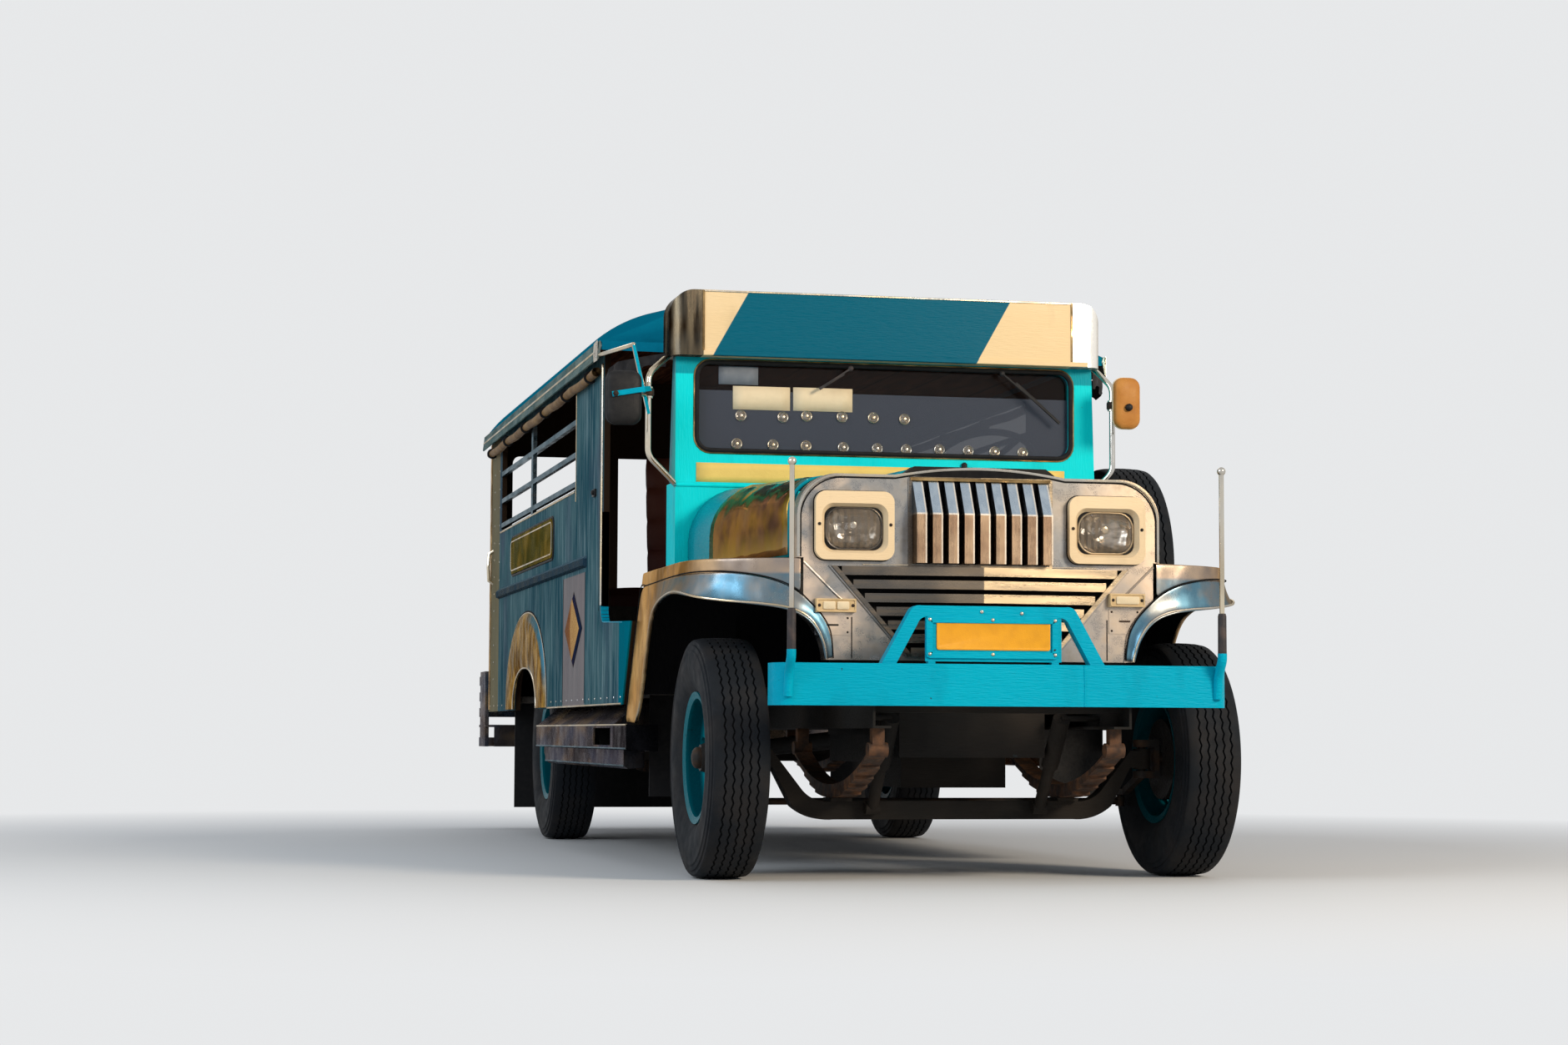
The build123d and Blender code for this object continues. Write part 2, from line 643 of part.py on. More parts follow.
# Cowl: the bulkhead behind the engine, its side walls, the ledge and the closing panels by the wheels
def cowl():
    wall = box(-COWL_X, COWL_X, COWL_Y, COWL_Y + 25, FLOOR_Z + 1, LEDGE_Z - 30)
    ledge = box(-COWL_X, COWL_X, COWL_Y, COWL_Y + 150, LEDGE_Z - 30, LEDGE_Z)
    cowl_body = wall + ledge
    for side in (-1, 1):
        x0, x1 = sorted((side * (COWL_X - 25), side * COWL_X))
        cowl_body += box(x0, x1, COWL_Y, COWL_Y + 180, FLOOR_Z + 1, LEDGE_Z)
        cowl_body += box(x0, x1, 712, COWL_Y, FLOOR_Z + 1, FENDER_Z - 10)
        x0, x1 = sorted((side * 606, side * (BODY_X - WALL - 1)))
        cowl_body += box(x0, x1, 700, 712, FLOOR_Z - 30, FENDER_Z - 10)
    return cowl_body


# Windscreen: a flat frame with one round-cornered opening
SCREEN_T = 45
SCREEN_TOP_Z = 1862
GLASS_X = 714
GLASS_Z = (1523, 1842)


def windscreen_frame():
    frame = prism_y([(-812, LEDGE_Z), (812, LEDGE_Z), (800, SCREEN_TOP_Z), (-800, SCREEN_TOP_Z)],
                    SCREEN_Y, SCREEN_Y + SCREEN_T)
    frame -= prism_y(rounded(-GLASS_X, GLASS_X, *GLASS_Z, 52), SCREEN_Y - 1, SCREEN_Y + SCREEN_T + 1)
    return frame


def windscreen_glass():
    return prism_y(rounded(-GLASS_X, GLASS_X, *GLASS_Z, 52), SCREEN_Y + 22, SCREEN_Y + 28)


# Sign box over the windscreen, with a rounded cap on each end
SIGN_Y = (843, 1010)
SIGN_Z = (1863, 2105)
SIGN_X = 705
CAP_X = 825


def header_box():
    return box(-SIGN_X, SIGN_X, *SIGN_Y, *SIGN_Z)


def header_caps():
    y0, y1 = SIGN_Y
    z0, z1 = SIGN_Z
    x0, x1 = SIGN_X, CAP_X
    plan = [(x0, y0), (x1 - 60, y0), (x1 - 16, y0 + 18, x1, y0 + 70), (x1, y1), (x0, y1)]
    front = [(x0, z0), (x1, z0), (x1, z1 - 90), (x1 - 25, z1 - 26, x1 - 85, z1), (x0, z1)]
    cap = prism_z(plan, z0, z1) & prism_y(front, y0, y1)
    return both(cap)


# Roof: a domed shell that rises from behind the sign box and reaches full width over the doorway
ROOF_T = 30
# y, half width, edge height, height of the shoulder, top height
ROOF_STATIONS = [
    (SIGN_Y[1], 815, 1890, 2000, 2075),
    (ROOF_FULL_Y, 1000, ROOF_EDGE_Z, 2112, 2160),
    (ROOF_CROWN_Y, 1000, ROOF_EDGE_Z, 2195, ROOF_TOP_Z - 5),
    (BODY_REAR_Y + 30, 1000, ROOF_EDGE_Z, 2200, ROOF_TOP_Z),
]


def roof_face(station, inset):
    y, half, edge, shoulder, top = station
    x = half - inset
    out = 0.66 * half
    return face_of(whole([
        (0, edge), (x, edge), (x, edge + 35),
        (0.87 * half - 0.7 * inset, shoulder - 0.085 * half - 0.7 * inset, out, shoulder + 15 - inset),
        (0.34 * half, top - 0.022 * half - inset, 0, top - inset),
    ]), at_y(y))


def roof_body(inset):
    body = None
    for front, rear in zip(ROOF_STATIONS, ROOF_STATIONS[1:]):
        part = loft([roof_face(front, inset), roof_face(rear, inset)], ruled=True)
        body = part if body is None else body + part
    return body


def roof_shell():
    return roof_body(0) - roof_body(ROOF_T)


def roof_eaves():
    strip = prism_y([(1000, 1955), (1006, 1975), (1010, 1975), (1018, 1906), (1012, 1904), (1003, 1950)],
                    ROOF_FULL_Y, BODY_REAR_Y + 20)
    return both(strip)


# Body sides: post, waist panel and rear post in one panel, with window and wheel openings cut
WINDOW_Z = (1470, 1890)
WINDOW_Y = (POST_Y[1] + 5, REAR_POST_Y)
SPARE = (985, 1142, 1110)
STEP_Y = (1035, 3165)


def wheel_opening(half, top, base, y=WHEELBASE):
    """A half-ellipse like opening from three arcs, over the rear wheel."""
    flank = 0.87 * half, base + 0.66 * (top - base)
    brow = 0.45 * half, top - 0.1 * (top - base)
    return [
        (y - half, base), (y + half, base), (y + flank[0], flank[1], y + brow[0], brow[1]),
        (y, top, y - brow[0], brow[1]), (y - flank[0], flank[1], y - half, base),
    ]


def side_outline():
    return [
        (980, SKIRT_Z), (BODY_REAR_Y, SKIRT_Z), (BODY_REAR_Y, ROOF_EDGE_Z), (POST_Y[0], ROOF_EDGE_Z),
        (POST_Y[0], 965), (1483, 922, 1440, 905), (803, 885),
    ]


def side_panel(x0, x1):
    side = prism_x(side_outline(), x0, x1)
    side -= prism_x(rounded(*WINDOW_Y, *WINDOW_Z, 30), x0 - 1, x1 + 1)
    side -= prism_x([(WHEELBASE - 430, 500), (WHEELBASE + 430, 500)] + wheel_opening(430, 800, SKIRT_Z)[1:],
                    x0 - 1, x1 + 1)
    return side


def side_panels():
    x0, x1 = BODY_X - WALL, BODY_X
    right = side_panel(-x1, -x0)
    left = side_panel(x0, x1)
    left -= Pos(SPARE[0], SPARE[1], SPARE[2]) * Rot(0, 90, 0) * Cylinder(TYRE_R + 12, 300)
    return [right, left]


def arch_covers():
    x0 = BODY_X
    x1 = BODY_X + 14
    cover = prism_x(wheel_opening(700, 1026, SKIRT_Z), x0, x1)
    hole = [(WHEELBASE - 415, 500), (WHEELBASE + 415, 500)] + wheel_opening(415, 775, SKIRT_Z)[1:]
    cover -= prism_x(hole, x0 - 1, x1 + 1)
    return both(cover)


def window_rails():
    rails = []
    for side in (-1, 1):
        x0, x1 = sorted((side * (BODY_X - 20), side * (BODY_X - 2)))
        frame = box(x0, x1, 3570, 3630, *WINDOW_Z)
        for z in (1750, 1616, 1496):
            frame += box(x0, x1, *WINDOW_Y, z - 11, z + 11)
        frame &= prism_x(rounded(*WINDOW_Y, *WINDOW_Z, 30), x0, x1)
        rails.append(frame)
    return rails


def side_trim():
    """Rub rail along the waist and the raised panel above it."""
    rail = prism_y([(BODY_X, 1137), (BODY_X + 16, 1145), (BODY_X + 16, 1172), (BODY_X, 1186)], 1880, 4800)
    panel = prism_x(rounded(2840, 4280, 1231, 1400, 40), BODY_X, BODY_X + 8)
    return both(rail) + both(panel)


# Side steps: a folded box under each side, flat-topped under the fender's tail, with a foot hole and a pan
STEP_FRONT_Y = 745
STEP_T = 6
FOOT_HOLE_Y = (1105, 1520)
FOOT_HOLE_Z = (436, 500)


def side_steps():
    y0, y1 = STEP_Y
    t = STEP_T
    step = prism_y([(880, 415), (997, 424), (997, 511), (905, SKIRT_Z - 1), (880, SKIRT_Z - 1)], y0, y1)
    step += prism_y([(880, 415), (997, 424), (997, 511), (880, 511)], STEP_FRONT_Y, y0)
    inside = [(870, 421), (991, 430), (991, 507), (902, SKIRT_Z - 1 - t), (870, SKIRT_Z - 1 - t)]
    step -= prism_y(inside, y0 + t, y1 - t)
    step -= prism_y([(870, 421), (991, 430), (991, 505), (870, 505)], STEP_FRONT_Y + t, y0 + t + 1)
    step -= box(985, 1010, *FOOT_HOLE_Y, *FOOT_HOLE_Z)
    pan = prism_y([(880, 355), (940, 350), (957, 362), (957, 419), (880, 415)], y0, y1)
    bracket = box(RAIL_X[1], 880, y0 + 240, y0 + 280, 560, 580)
    bracket += box(RAIL_X[1], 880, y1 - 280, y1 - 240, 560, 580)
    return both(step + pan + bracket)


# Floor with notches over the rear wheels
def floor():
    x = BODY_X - WALL
    deck = prism_z([
        (-x, 714), (-COWL_X, 714), (-COWL_X, COWL_Y + 1), (COWL_X, COWL_Y + 1), (COWL_X, 714), (x, 714),
        (x, BODY_REAR_Y - 30), (-x, BODY_REAR_Y - 30),
    ], RAIL_Z[1], FLOOR_Z)
    for side in (-1, 1):
        x0, x1 = sorted((side * 600, side * 1000))
        deck -= box(x0, x1, WHEELBASE - 470, WHEELBASE + 470, 600, 700)
    return deck


# Benches along both sides, boxed over the wheels
BENCH_X = 530
BENCH_Y = (2260, 5120)
BENCH_Z = 1000


def bench_boxes():
    x1 = BODY_X - WALL
    bench = box(BENCH_X, BENCH_X + 18, *BENCH_Y, FLOOR_Z, BENCH_Z - 20)
    bench += box(BENCH_X, x1, *BENCH_Y, BENCH_Z - 20, BENCH_Z)
    for y in (BENCH_Y[0], BENCH_Y[1] - 18):
        bench += box(BENCH_X, x1, y, y + 18, FLOOR_Z, BENCH_Z - 20)
    return both(bench)


def bench_cushions():
    x1 = BODY_X - WALL
    seat = box(BENCH_X - 6, x1 - 62, BENCH_Y[0] + 10, BENCH_Y[1] - 12, BENCH_Z, BENCH_Z + 85)
    back = box(x1 - 60, x1, BENCH_Y[0] + 10, BENCH_Y[1] - 12, BENCH_Z + 90, 1440)
    return both(seat) + both(back)


def front_seats():
    """Driver's seat and the wider passenger seat, each with a boxed base, a cushion and a back."""
    seats = []
    for x0, x1 in ((200, 740), (-740, 20)):
        base = box(x0 + 20, x1 - 20, 1420, 1860, FLOOR_Z, 960)
        cushion = box(x0, x1, 1380, 1880, 960, 1070)
        back = prism_x([(1790, 1070), (1880, 1070), (1960, 1590), (1880, 1590)], x0, x1)
        seats.append(base + cushion + back)
    return seats


def dashboard():
    board = prism_x([
        (COWL_Y + 150, LEDGE_Z - 30), (COWL_Y + 150, 1260), (COWL_Y + 205, 1180), (COWL_Y + 270, 1185),
        (COWL_Y + 262, LEDGE_Z - 36), (COWL_Y + 225, LEDGE_Z - 18),
    ], -COWL_X + 25, COWL_X - 25)
    return board - steering_column()


# Steering wheel on a raked column
WHEEL_HUB = (460, 1205, 1500)
COLUMN_TILT = 38         # degrees of the column's axis from upright, leaning back
WHEEL_R = 210


def column_axis():
    return (0, sin(radians(COLUMN_TILT)), cos(radians(COLUMN_TILT)))


def steering_column():
    _, dy, dz = column_axis()
    x, y, z = WHEEL_HUB
    top = (x, y - 12 * dy, z - 12 * dz)
    low = (x, y - 190 * dy, z - 190 * dz)
    return rod(low, top, 26)


def steering_wheel():
    plane = Plane(origin=WHEEL_HUB, z_dir=column_axis())
    grip = [(WHEEL_R + 13 * cos(pi * k / 4), 13 * sin(pi * k / 4)) for k in range(8)]
    wheel = plane * revolve(face_of(grip, lambda u, v: (u, 0, v)), Axis.Z)
    wheel += plane * Pos(0, 0, -2) * Cylinder(45, 16)
    for turn in (0, 120, 240):
        wheel += plane * Rot(0, 0, turn + 90) * Pos(WHEEL_R / 2, 0, -2) * Box(WHEEL_R - 12, 24, 8)
    return wheel


# Rear wall with the open entrance and a window on each side
ENTRANCE_X = 330
ENTRANCE_Z = (FLOOR_Z, 1880)


def rear_wall():
    edge = BODY_X - WALL
    wall = prism_y(whole([(0, SKIRT_Z), (edge, SKIRT_Z), (edge, ROOF_EDGE_Z + 20), (820, 2075, 655, 2180),
                          (340, 2245, 0, 2268)]), BODY_REAR_Y - 30, BODY_REAR_Y)
    wall -= box(-ENTRANCE_X, ENTRANCE_X, 5000, 5400, *ENTRANCE_Z)
    for side in (-1, 1):
        wall -= prism_y(rounded(side * 640 - 230, side * 640 + 230, 1470, 1880, 40), 5000, 5400)
    return wall


# Rear step: a tread behind the entrance on brackets, between stacked chrome bars, with a towing tongue
STEP_TOP_Z = 520
TOW_HOLE_R = 13


def rear_step():
    y0, y1 = BODY_REAR_Y + 50, REAR_REACH
    tread = box(-940, 940, y0, y1, STEP_TOP_Z - 12, STEP_TOP_Z)
    tread += box(-940, 940, y0, y0 + 6, 410, STEP_TOP_Z)
    bars = []
    for side in (-1, 1):
        x0, x1 = sorted((side * 380, side * 985))
        for z in (410, 560, 640, 720):
            bars.append(box(x0, x1, y1 - 40, y1, z, z + 46))
        x0, x1 = sorted((side * 965, side * 985))
        bars.append(box(x0, x1, y0 + 20, y1 - 40, 410, 790))
        x0, x1 = sorted((side * 380, side * 400))
        bars.append(box(x0, x1, y1 - 40, y1, 410, 790))
        x0, x1 = sorted((side * RAIL_X[0], side * RAIL_X[1]))
        bars.append(box(x0, x1, RAIL_Y[1], y1 - 40, STEP_TOP_Z, STEP_TOP_Z + 50))
        x0, x1 = sorted((side * 920, side * 985))
        bars.append(box(x0, x1, y0, y1, STEP_TOP_Z - 12, STEP_TOP_Z))
    step = tread
    for bar in bars:
        step += bar
    tongue = box(-45, 45, y1 - 150, y1, STEP_TOP_Z - 40, STEP_TOP_Z - 12)
    tongue -= Pos(0, y1 - 40, STEP_TOP_Z) * Cylinder(TOW_HOLE_R, 200)
    step -= Pos(0, y1 - 40, STEP_TOP_Z) * Cylinder(TOW_HOLE_R, 200)
    return step + tongue


# Spare wheel in the driver's sill, on a bracket from the cowl's side
def spare_tyre():
    return tyre(*SPARE)


def spare_rim():
    return rim(*SPARE, SPARE_SECTION)


def spare_bracket():
    x, y, z = SPARE
    boss = rod((COWL_X + 40, y, z), (x - 6, y, z), 75)
    arm = box(COWL_X, COWL_X + 50, COWL_Y + 60, y + 75, z - 40, z + 40)
    foot = box(COWL_X + 10, COWL_X + 50, y - 30, y + 30, FLOOR_Z, z - 40)
    return boss + arm + foot


# Mirrors on bent tubes from the sign box down to the cowl; each head hangs where it was clamped by hand
MIRROR_Y = 738
TUBE_Y = 850


def mirror_tube(x, low_z):
    """The tube's ends are cut flat against the sign box above and the cowl's side below."""
    turns = [(816, 930, SIGN_Z[0] + 8), (x, TUBE_Y, 1790), (x, TUBE_Y, low_z), (COWL_X - 8, 887, 1385)]
    tube = pipe(turns, [60, 60], 11)
    return tube - box(750, 900, 880, 980, SIGN_Z[0], 1900) - box(750, COWL_X, 820, 940, 1350, 1420)


def mirror_head(x0, x1, z0, z1):
    return prism_y(rounded(x0, x1, z0, z1, 34), MIRROR_Y - 10, MIRROR_Y + 10)


def mirrors():
    left = mirror_tube(866, 1470) + rod((866, TUBE_Y, 1700), (866, TUBE_Y, 1740), 17)
    left += rod((866, TUBE_Y, 1722), (884, MIRROR_Y, 1722), 8) + mirror_head(836, 931, 1627, 1809)
    right = mirror_tube(907, 1490) + rod((907, TUBE_Y, 1700), (907, TUBE_Y, 1740), 17)
    right += rod((907, TUBE_Y, 1712), (1015, MIRROR_Y, 1698), 8) + mirror_head(956, 1079, 1593, 1779)
    # A stay from the eave's front corner steadies the right-hand tube
    right += rod((907, TUBE_Y, 1650), (965, 840, 1893), 8)
    right += rod((965, 840, 1893), (1008, ROOF_FULL_Y, 1920), 8)
    return [left, mirror(right, about=Plane.YZ)]


def curtain_rolls():
    roll = rod((BODY_X + 20, 1540, 1872), (BODY_X + 20, 5060, 1872), 20)
    return both(roll)


save("frame_rails", frame_rails())
save("front_axle", front_axle())
save("leaf_springs", leaf_springs())
save("rear_axle", rear_axle())
save("knuckle_left", knuckle())
save("knuckle_right", mirror(knuckle(), about=Plane.YZ))
save("tie_rod", tie_rod())
save("engine_block", engine_block())
save("drive_shaft", drive_shaft())
save("fuel_tank", fuel_tank())
save("exhaust", exhaust())
save("radiator", radiator())
save("shock_absorbers", shock_absorbers())
save("mud_flaps", mud_flaps())
save("front_bumper", front_bumper())
save("plate_guard", plate_guard())
save("guide_poles", guide_poles())
save("grille_shell", grille_shell())
save("grille_slats", grille_slats())
save("lower_grille", lower_grille())
save("headlamp_bezels", headlamp_bezels())
save("headlamps", headlamps())
save("marker_lamps", marker_lamps())
save("front_fenders", front_fenders())
save("hood", hood())
save("hood_plates", hood_plates())
save("cowl", cowl())
save("windscreen_frame", windscreen_frame())
save("windscreen_glass", windscreen_glass())
save("header_box", header_box())
save("header_caps", header_caps())
save("roof_shell", roof_shell())
save("roof_eaves", roof_eaves())
save("side_panels", side_panels())
save("arch_covers", arch_covers())
save("window_rails", window_rails())
save("side_trim", side_trim())
save("side_steps", side_steps())
save("floor", floor())
save("bench_boxes", bench_boxes())
save("bench_cushions", bench_cushions())
save("front_seats", front_seats())
save("dashboard", dashboard())
save("steering_column", steering_column())
save("steering_wheel", steering_wheel())
save("rear_wall", rear_wall())
save("rear_step", rear_step())
save("spare_tyre", spare_tyre())
save("spare_rim", spare_rim())
save("spare_bracket", spare_bracket())
save("mirrors", mirrors())
save("curtain_rolls", curtain_rolls())

for side, x in (("left", 1), ("right", -1)):
    for end, half, y in (("front", FRONT_WHEEL_X, 0), ("rear", REAR_WHEEL_X, WHEELBASE)):
        shapes = tyre(half, y), rim(half, y)
        if x < 0:
            shapes = [mirror(shape, about=Plane.YZ) for shape in shapes]
        save(f"tyre_{end}_{side}", shapes[0])
        save(f"rim_{end}_{side}", shapes[1])
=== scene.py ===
from math import asin, atan2, cos, pi, radians, sin

import bmesh
import bpy
from mathutils import Matrix, Vector, noise as ripple


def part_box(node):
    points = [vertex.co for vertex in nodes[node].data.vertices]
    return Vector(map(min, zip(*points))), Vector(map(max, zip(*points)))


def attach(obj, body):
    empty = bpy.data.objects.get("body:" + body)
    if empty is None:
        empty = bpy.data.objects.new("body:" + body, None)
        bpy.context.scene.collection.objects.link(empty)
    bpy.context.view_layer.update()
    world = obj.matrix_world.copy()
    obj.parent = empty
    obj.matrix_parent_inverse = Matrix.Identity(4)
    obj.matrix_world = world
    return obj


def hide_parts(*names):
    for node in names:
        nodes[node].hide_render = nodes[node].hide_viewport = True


# %% [markdown]
# # A short jeepney
#
# The construction of this vehicle is already made and comes in as a fixed frame. Every node of it sits
# at the origin with its place in its mesh, so whatever is added here is placed straight in metres.
# The front faces -Y, the driver sits at +X, and the origin is on the ground under the middle. Lengths
# along the vehicle are given as stations behind the front axle, as on a builder's drawing.

# %% Load the frame and keep its size
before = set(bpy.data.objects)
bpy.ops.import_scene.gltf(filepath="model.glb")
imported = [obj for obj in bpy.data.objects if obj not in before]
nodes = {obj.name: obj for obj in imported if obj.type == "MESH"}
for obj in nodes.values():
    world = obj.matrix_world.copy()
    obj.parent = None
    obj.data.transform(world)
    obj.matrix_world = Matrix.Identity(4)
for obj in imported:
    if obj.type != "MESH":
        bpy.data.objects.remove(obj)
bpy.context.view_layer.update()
axle_low, axle_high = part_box("front_axle")
FRONT_AXLE_Y = round((axle_low.y + axle_high.y) / 2, 4)


def along(station):
    """The y of a place given in metres behind the front axle."""
    return FRONT_AXLE_Y + station


def at(x, station, z):
    return Vector((x, along(station), z))


# %% [markdown]
# ## Camera
#
# The camera stands low, ahead of the vehicle and to its right, as a photographer crouching by the road
# would. Its place and turn were found by fitting some eighty measured points of the vehicle to the
# picture. The matrix is written from the three angles directly, because a track-to constraint would
# lose the small roll.

# %% Place the camera
PHOTO_WIDTH = 1880
SENSOR = 36.0
FOCAL_PIXELS = 3535.8
YAW, PITCH, ROLL = radians(12.3175), radians(4.0952), radians(0.2563)
CAMERA_PLACE = at(-2.7023, -9.6983, 0.4816)


def camera_turn():
    forward = Vector((sin(YAW) * cos(PITCH), cos(YAW) * cos(PITCH), sin(PITCH)))
    level = Vector((cos(YAW), -sin(YAW), 0))
    upward = level.cross(forward)
    right = cos(ROLL) * level + sin(ROLL) * upward
    top = -sin(ROLL) * level + cos(ROLL) * upward
    return Matrix((right, top, -forward)).transposed().to_4x4()


camera_data = bpy.data.cameras.new("camera")
camera_data.sensor_width = SENSOR
camera_data.lens = FOCAL_PIXELS * SENSOR / PHOTO_WIDTH
camera_data.clip_end = 300
camera = bpy.data.objects.new("camera", camera_data)
camera.matrix_world = Matrix.Translation(CAMERA_PLACE) @ camera_turn()
bpy.context.scene.collection.objects.link(camera)
bpy.context.scene.camera = camera
print("lens", round(camera_data.lens, 2), "mm")

# %% [markdown]
# ## Materials in general
#
# Every finish here is a Principled shader whose colour, roughness and bump come from noise read on
# Object coordinates. The nodes sit at the origin, so those coordinates are metres on the vehicle, and
# a pattern keeps its real scale and stays put when a wheel or the hood turns. A few helpers keep the
# recipes short: each adds one node and hands back its output.

# %% Shader helpers
def start_material(name, colour, roughness, metallic=0.0, gloss=0.5):
    made = bpy.data.materials.new(name)
    made.use_nodes = True
    shader = made.node_tree.nodes["Principled BSDF"]
    shader.inputs["Base Color"].default_value = (*colour, 1)
    shader.inputs["Roughness"].default_value = roughness
    shader.inputs["Metallic"].default_value = metallic
    shader.inputs["Specular IOR Level"].default_value = gloss
    return made


def shader_of(made):
    return made.node_tree.nodes["Principled BSDF"]


def join(made, source, target):
    made.node_tree.links.new(source, target)


def place_coordinates(made, stretch=(1, 1, 1), shift=(0, 0, 0)):
    """Object coordinates, moved by shift and then stretched."""
    tree = made.node_tree.nodes
    coordinates = tree.new("ShaderNodeTexCoord")
    mapping = tree.new("ShaderNodeMapping")
    mapping.vector_type = "POINT"
    mapping.inputs["Scale"].default_value = stretch
    mapping.inputs["Location"].default_value = [a * b for a, b in zip(shift, stretch)]
    join(made, coordinates.outputs["Object"], mapping.inputs["Vector"])
    return mapping.outputs["Vector"]


def noise(made, scale, stretch=(1, 1, 1), detail=4.0, shift=(0, 0, 0)):
    texture = made.node_tree.nodes.new("ShaderNodeTexNoise")
    texture.inputs["Scale"].default_value = scale
    texture.inputs["Detail"].default_value = detail
    join(made, place_coordinates(made, stretch, shift), texture.inputs["Vector"])
    return texture.outputs["Fac"]


def remap(made, value, low, high, to_low=0.0, to_high=1.0):
    """The value from low to high, spread over to_low to to_high and held at its ends."""
    node = made.node_tree.nodes.new("ShaderNodeMapRange")
    for label, number in (("From Min", low), ("From Max", high), ("To Min", to_low), ("To Max", to_high)):
        node.inputs[label].default_value = number
    join(made, value, node.inputs["Value"])
    return node.outputs["Result"]


def calculate(made, operation, first, second=0.0):
    node = made.node_tree.nodes.new("ShaderNodeMath")
    node.operation = operation
    for socket, value in zip(node.inputs, (first, second)):
        if isinstance(value, (int, float)):
            socket.default_value = value
        else:
            join(made, value, socket)
    return node.outputs["Value"]


def times(made, *values):
    product = values[0]
    for value in values[1:]:
        product = calculate(made, "MULTIPLY", product, value)
    return product


def plus(made, first, second):
    return calculate(made, "ADD", first, second)


def minus(made, first, second):
    return calculate(made, "SUBTRACT", first, second)


def absolute(made, value):
    return calculate(made, "ABSOLUTE", value)


def distance(made, first, second):
    """How far a point lies from an axis, by its two coordinates across that axis."""
    return calculate(made, "SQRT", plus(made, times(made, first, first), times(made, second, second)))


def away_from(made, value, middle, half):
    """0 at the middle and 1 at half either side of it."""
    return calculate(made, "DIVIDE", absolute(made, minus(made, value, middle)), half)


def mix(made, factor, first, second):
    """A colour between first and second, each a colour or another node's output."""
    node = made.node_tree.nodes.new("ShaderNodeMix")
    node.data_type = "RGBA"
    sockets = [node.inputs["Factor"]] + [s for s in node.inputs if s.name in "AB" and s.type == "RGBA"]
    for socket, value in zip(sockets, (factor, first, second)):
        if isinstance(value, (int, float)):
            socket.default_value = value
        elif isinstance(value, tuple):
            socket.default_value = (*value, 1)
        else:
            join(made, value, socket)
    return next(s for s in node.outputs if s.type == "RGBA")


def bump(made, height, distance, under=None):
    node = made.node_tree.nodes.new("ShaderNodeBump")
    node.inputs["Distance"].default_value = distance
    join(made, height, node.inputs["Height"])
    if under is not None:
        join(made, under, node.inputs["Normal"])
    join(made, node.outputs["Normal"], shader_of(made).inputs["Normal"])
    return node.outputs["Normal"]


def set_colour(made, output):
    join(made, output, shader_of(made).inputs["Base Color"])


def set_roughness(made, output):
    join(made, output, shader_of(made).inputs["Roughness"])


def colour_of(made):
    """The node output that feeds the shader's colour, so that another layer can go over it."""
    return shader_of(made).inputs["Base Color"].links[0].from_socket


def axis_values(made, shift=(0, 0, 0)):
    """x, y and z of the point on the vehicle, as three outputs."""
    split = made.node_tree.nodes.new("ShaderNodeSeparateXYZ")
    join(made, place_coordinates(made, shift=shift), split.inputs["Vector"])
    return split.outputs


def station_values(made):
    """x, the station and z of the point, as three outputs."""
    return axis_values(made, shift=(0, -FRONT_AXLE_Y, 0))


def between(made, value, low, high, edge=0.002):
    """1 where the value lies between low and high, with a narrow soft edge."""
    return times(made, remap(made, value, low - edge, low + edge),
                 remap(made, value, high - edge, high + edge, 1, 0))


def overlay(made, mask, colour):
    """A further coat of one colour where the mask is 1."""
    set_colour(made, mix(made, mask, colour_of(made), colour))


def coat(made, mask, colour):
    """A coat of paint on a metal, which hides its shine where the mask is 1."""
    overlay(made, mask, colour)
    join(made, remap(made, mask, 0, 1, 1, 0), shader_of(made).inputs["Metallic"])


# %% [markdown]
# ## Hand-painted enamel
#
# The bumper, the screen surround and the hood are painted by brush in a strong turquoise. Such paint
# has long shallow brush marks, patches that faded or were touched up, and a few chips that show a dark
# undercoat. The marks are noise stretched along the stroke, and the chips are the tips of a finer noise
# cut off by a narrow Map Range, so that they have hard edges.

# %% Enamel paint
CHIP_COLOUR = (0.03, 0.035, 0.035)


def enamel(name, colour, stroke=(1, 8, 8), chips=0.73, roughness=0.34, faded=(0.01, 0.40, 0.50), patchy=0.4,
           relief=0.0010, gloss=0.06):
    made = start_material(name, colour, roughness, gloss=gloss)
    patches = remap(made, noise(made, 2.2, detail=3), 0.42, 0.66, 0, patchy)
    painted = mix(made, patches, colour, faded)
    dirt = remap(made, noise(made, 9, stretch=(1, 1, 0.4), shift=(3, 1, 2)), 0.55, 0.85, 0, 0.45)
    painted = mix(made, dirt, painted, tuple(0.45 * c for c in colour))
    chip = remap(made, noise(made, 30, detail=6, shift=(7, 2, 5)), chips, chips + 0.012)
    set_colour(made, mix(made, chip, painted, CHIP_COLOUR))
    strokes = noise(made, 26, stretch=stroke, detail=3)
    set_roughness(made, remap(made, strokes, 0.3, 0.7, roughness - 0.08, roughness + 0.14))
    height = minus(made, strokes, times(made, chip, 1.5))
    bump(made, height, relief)
    return made


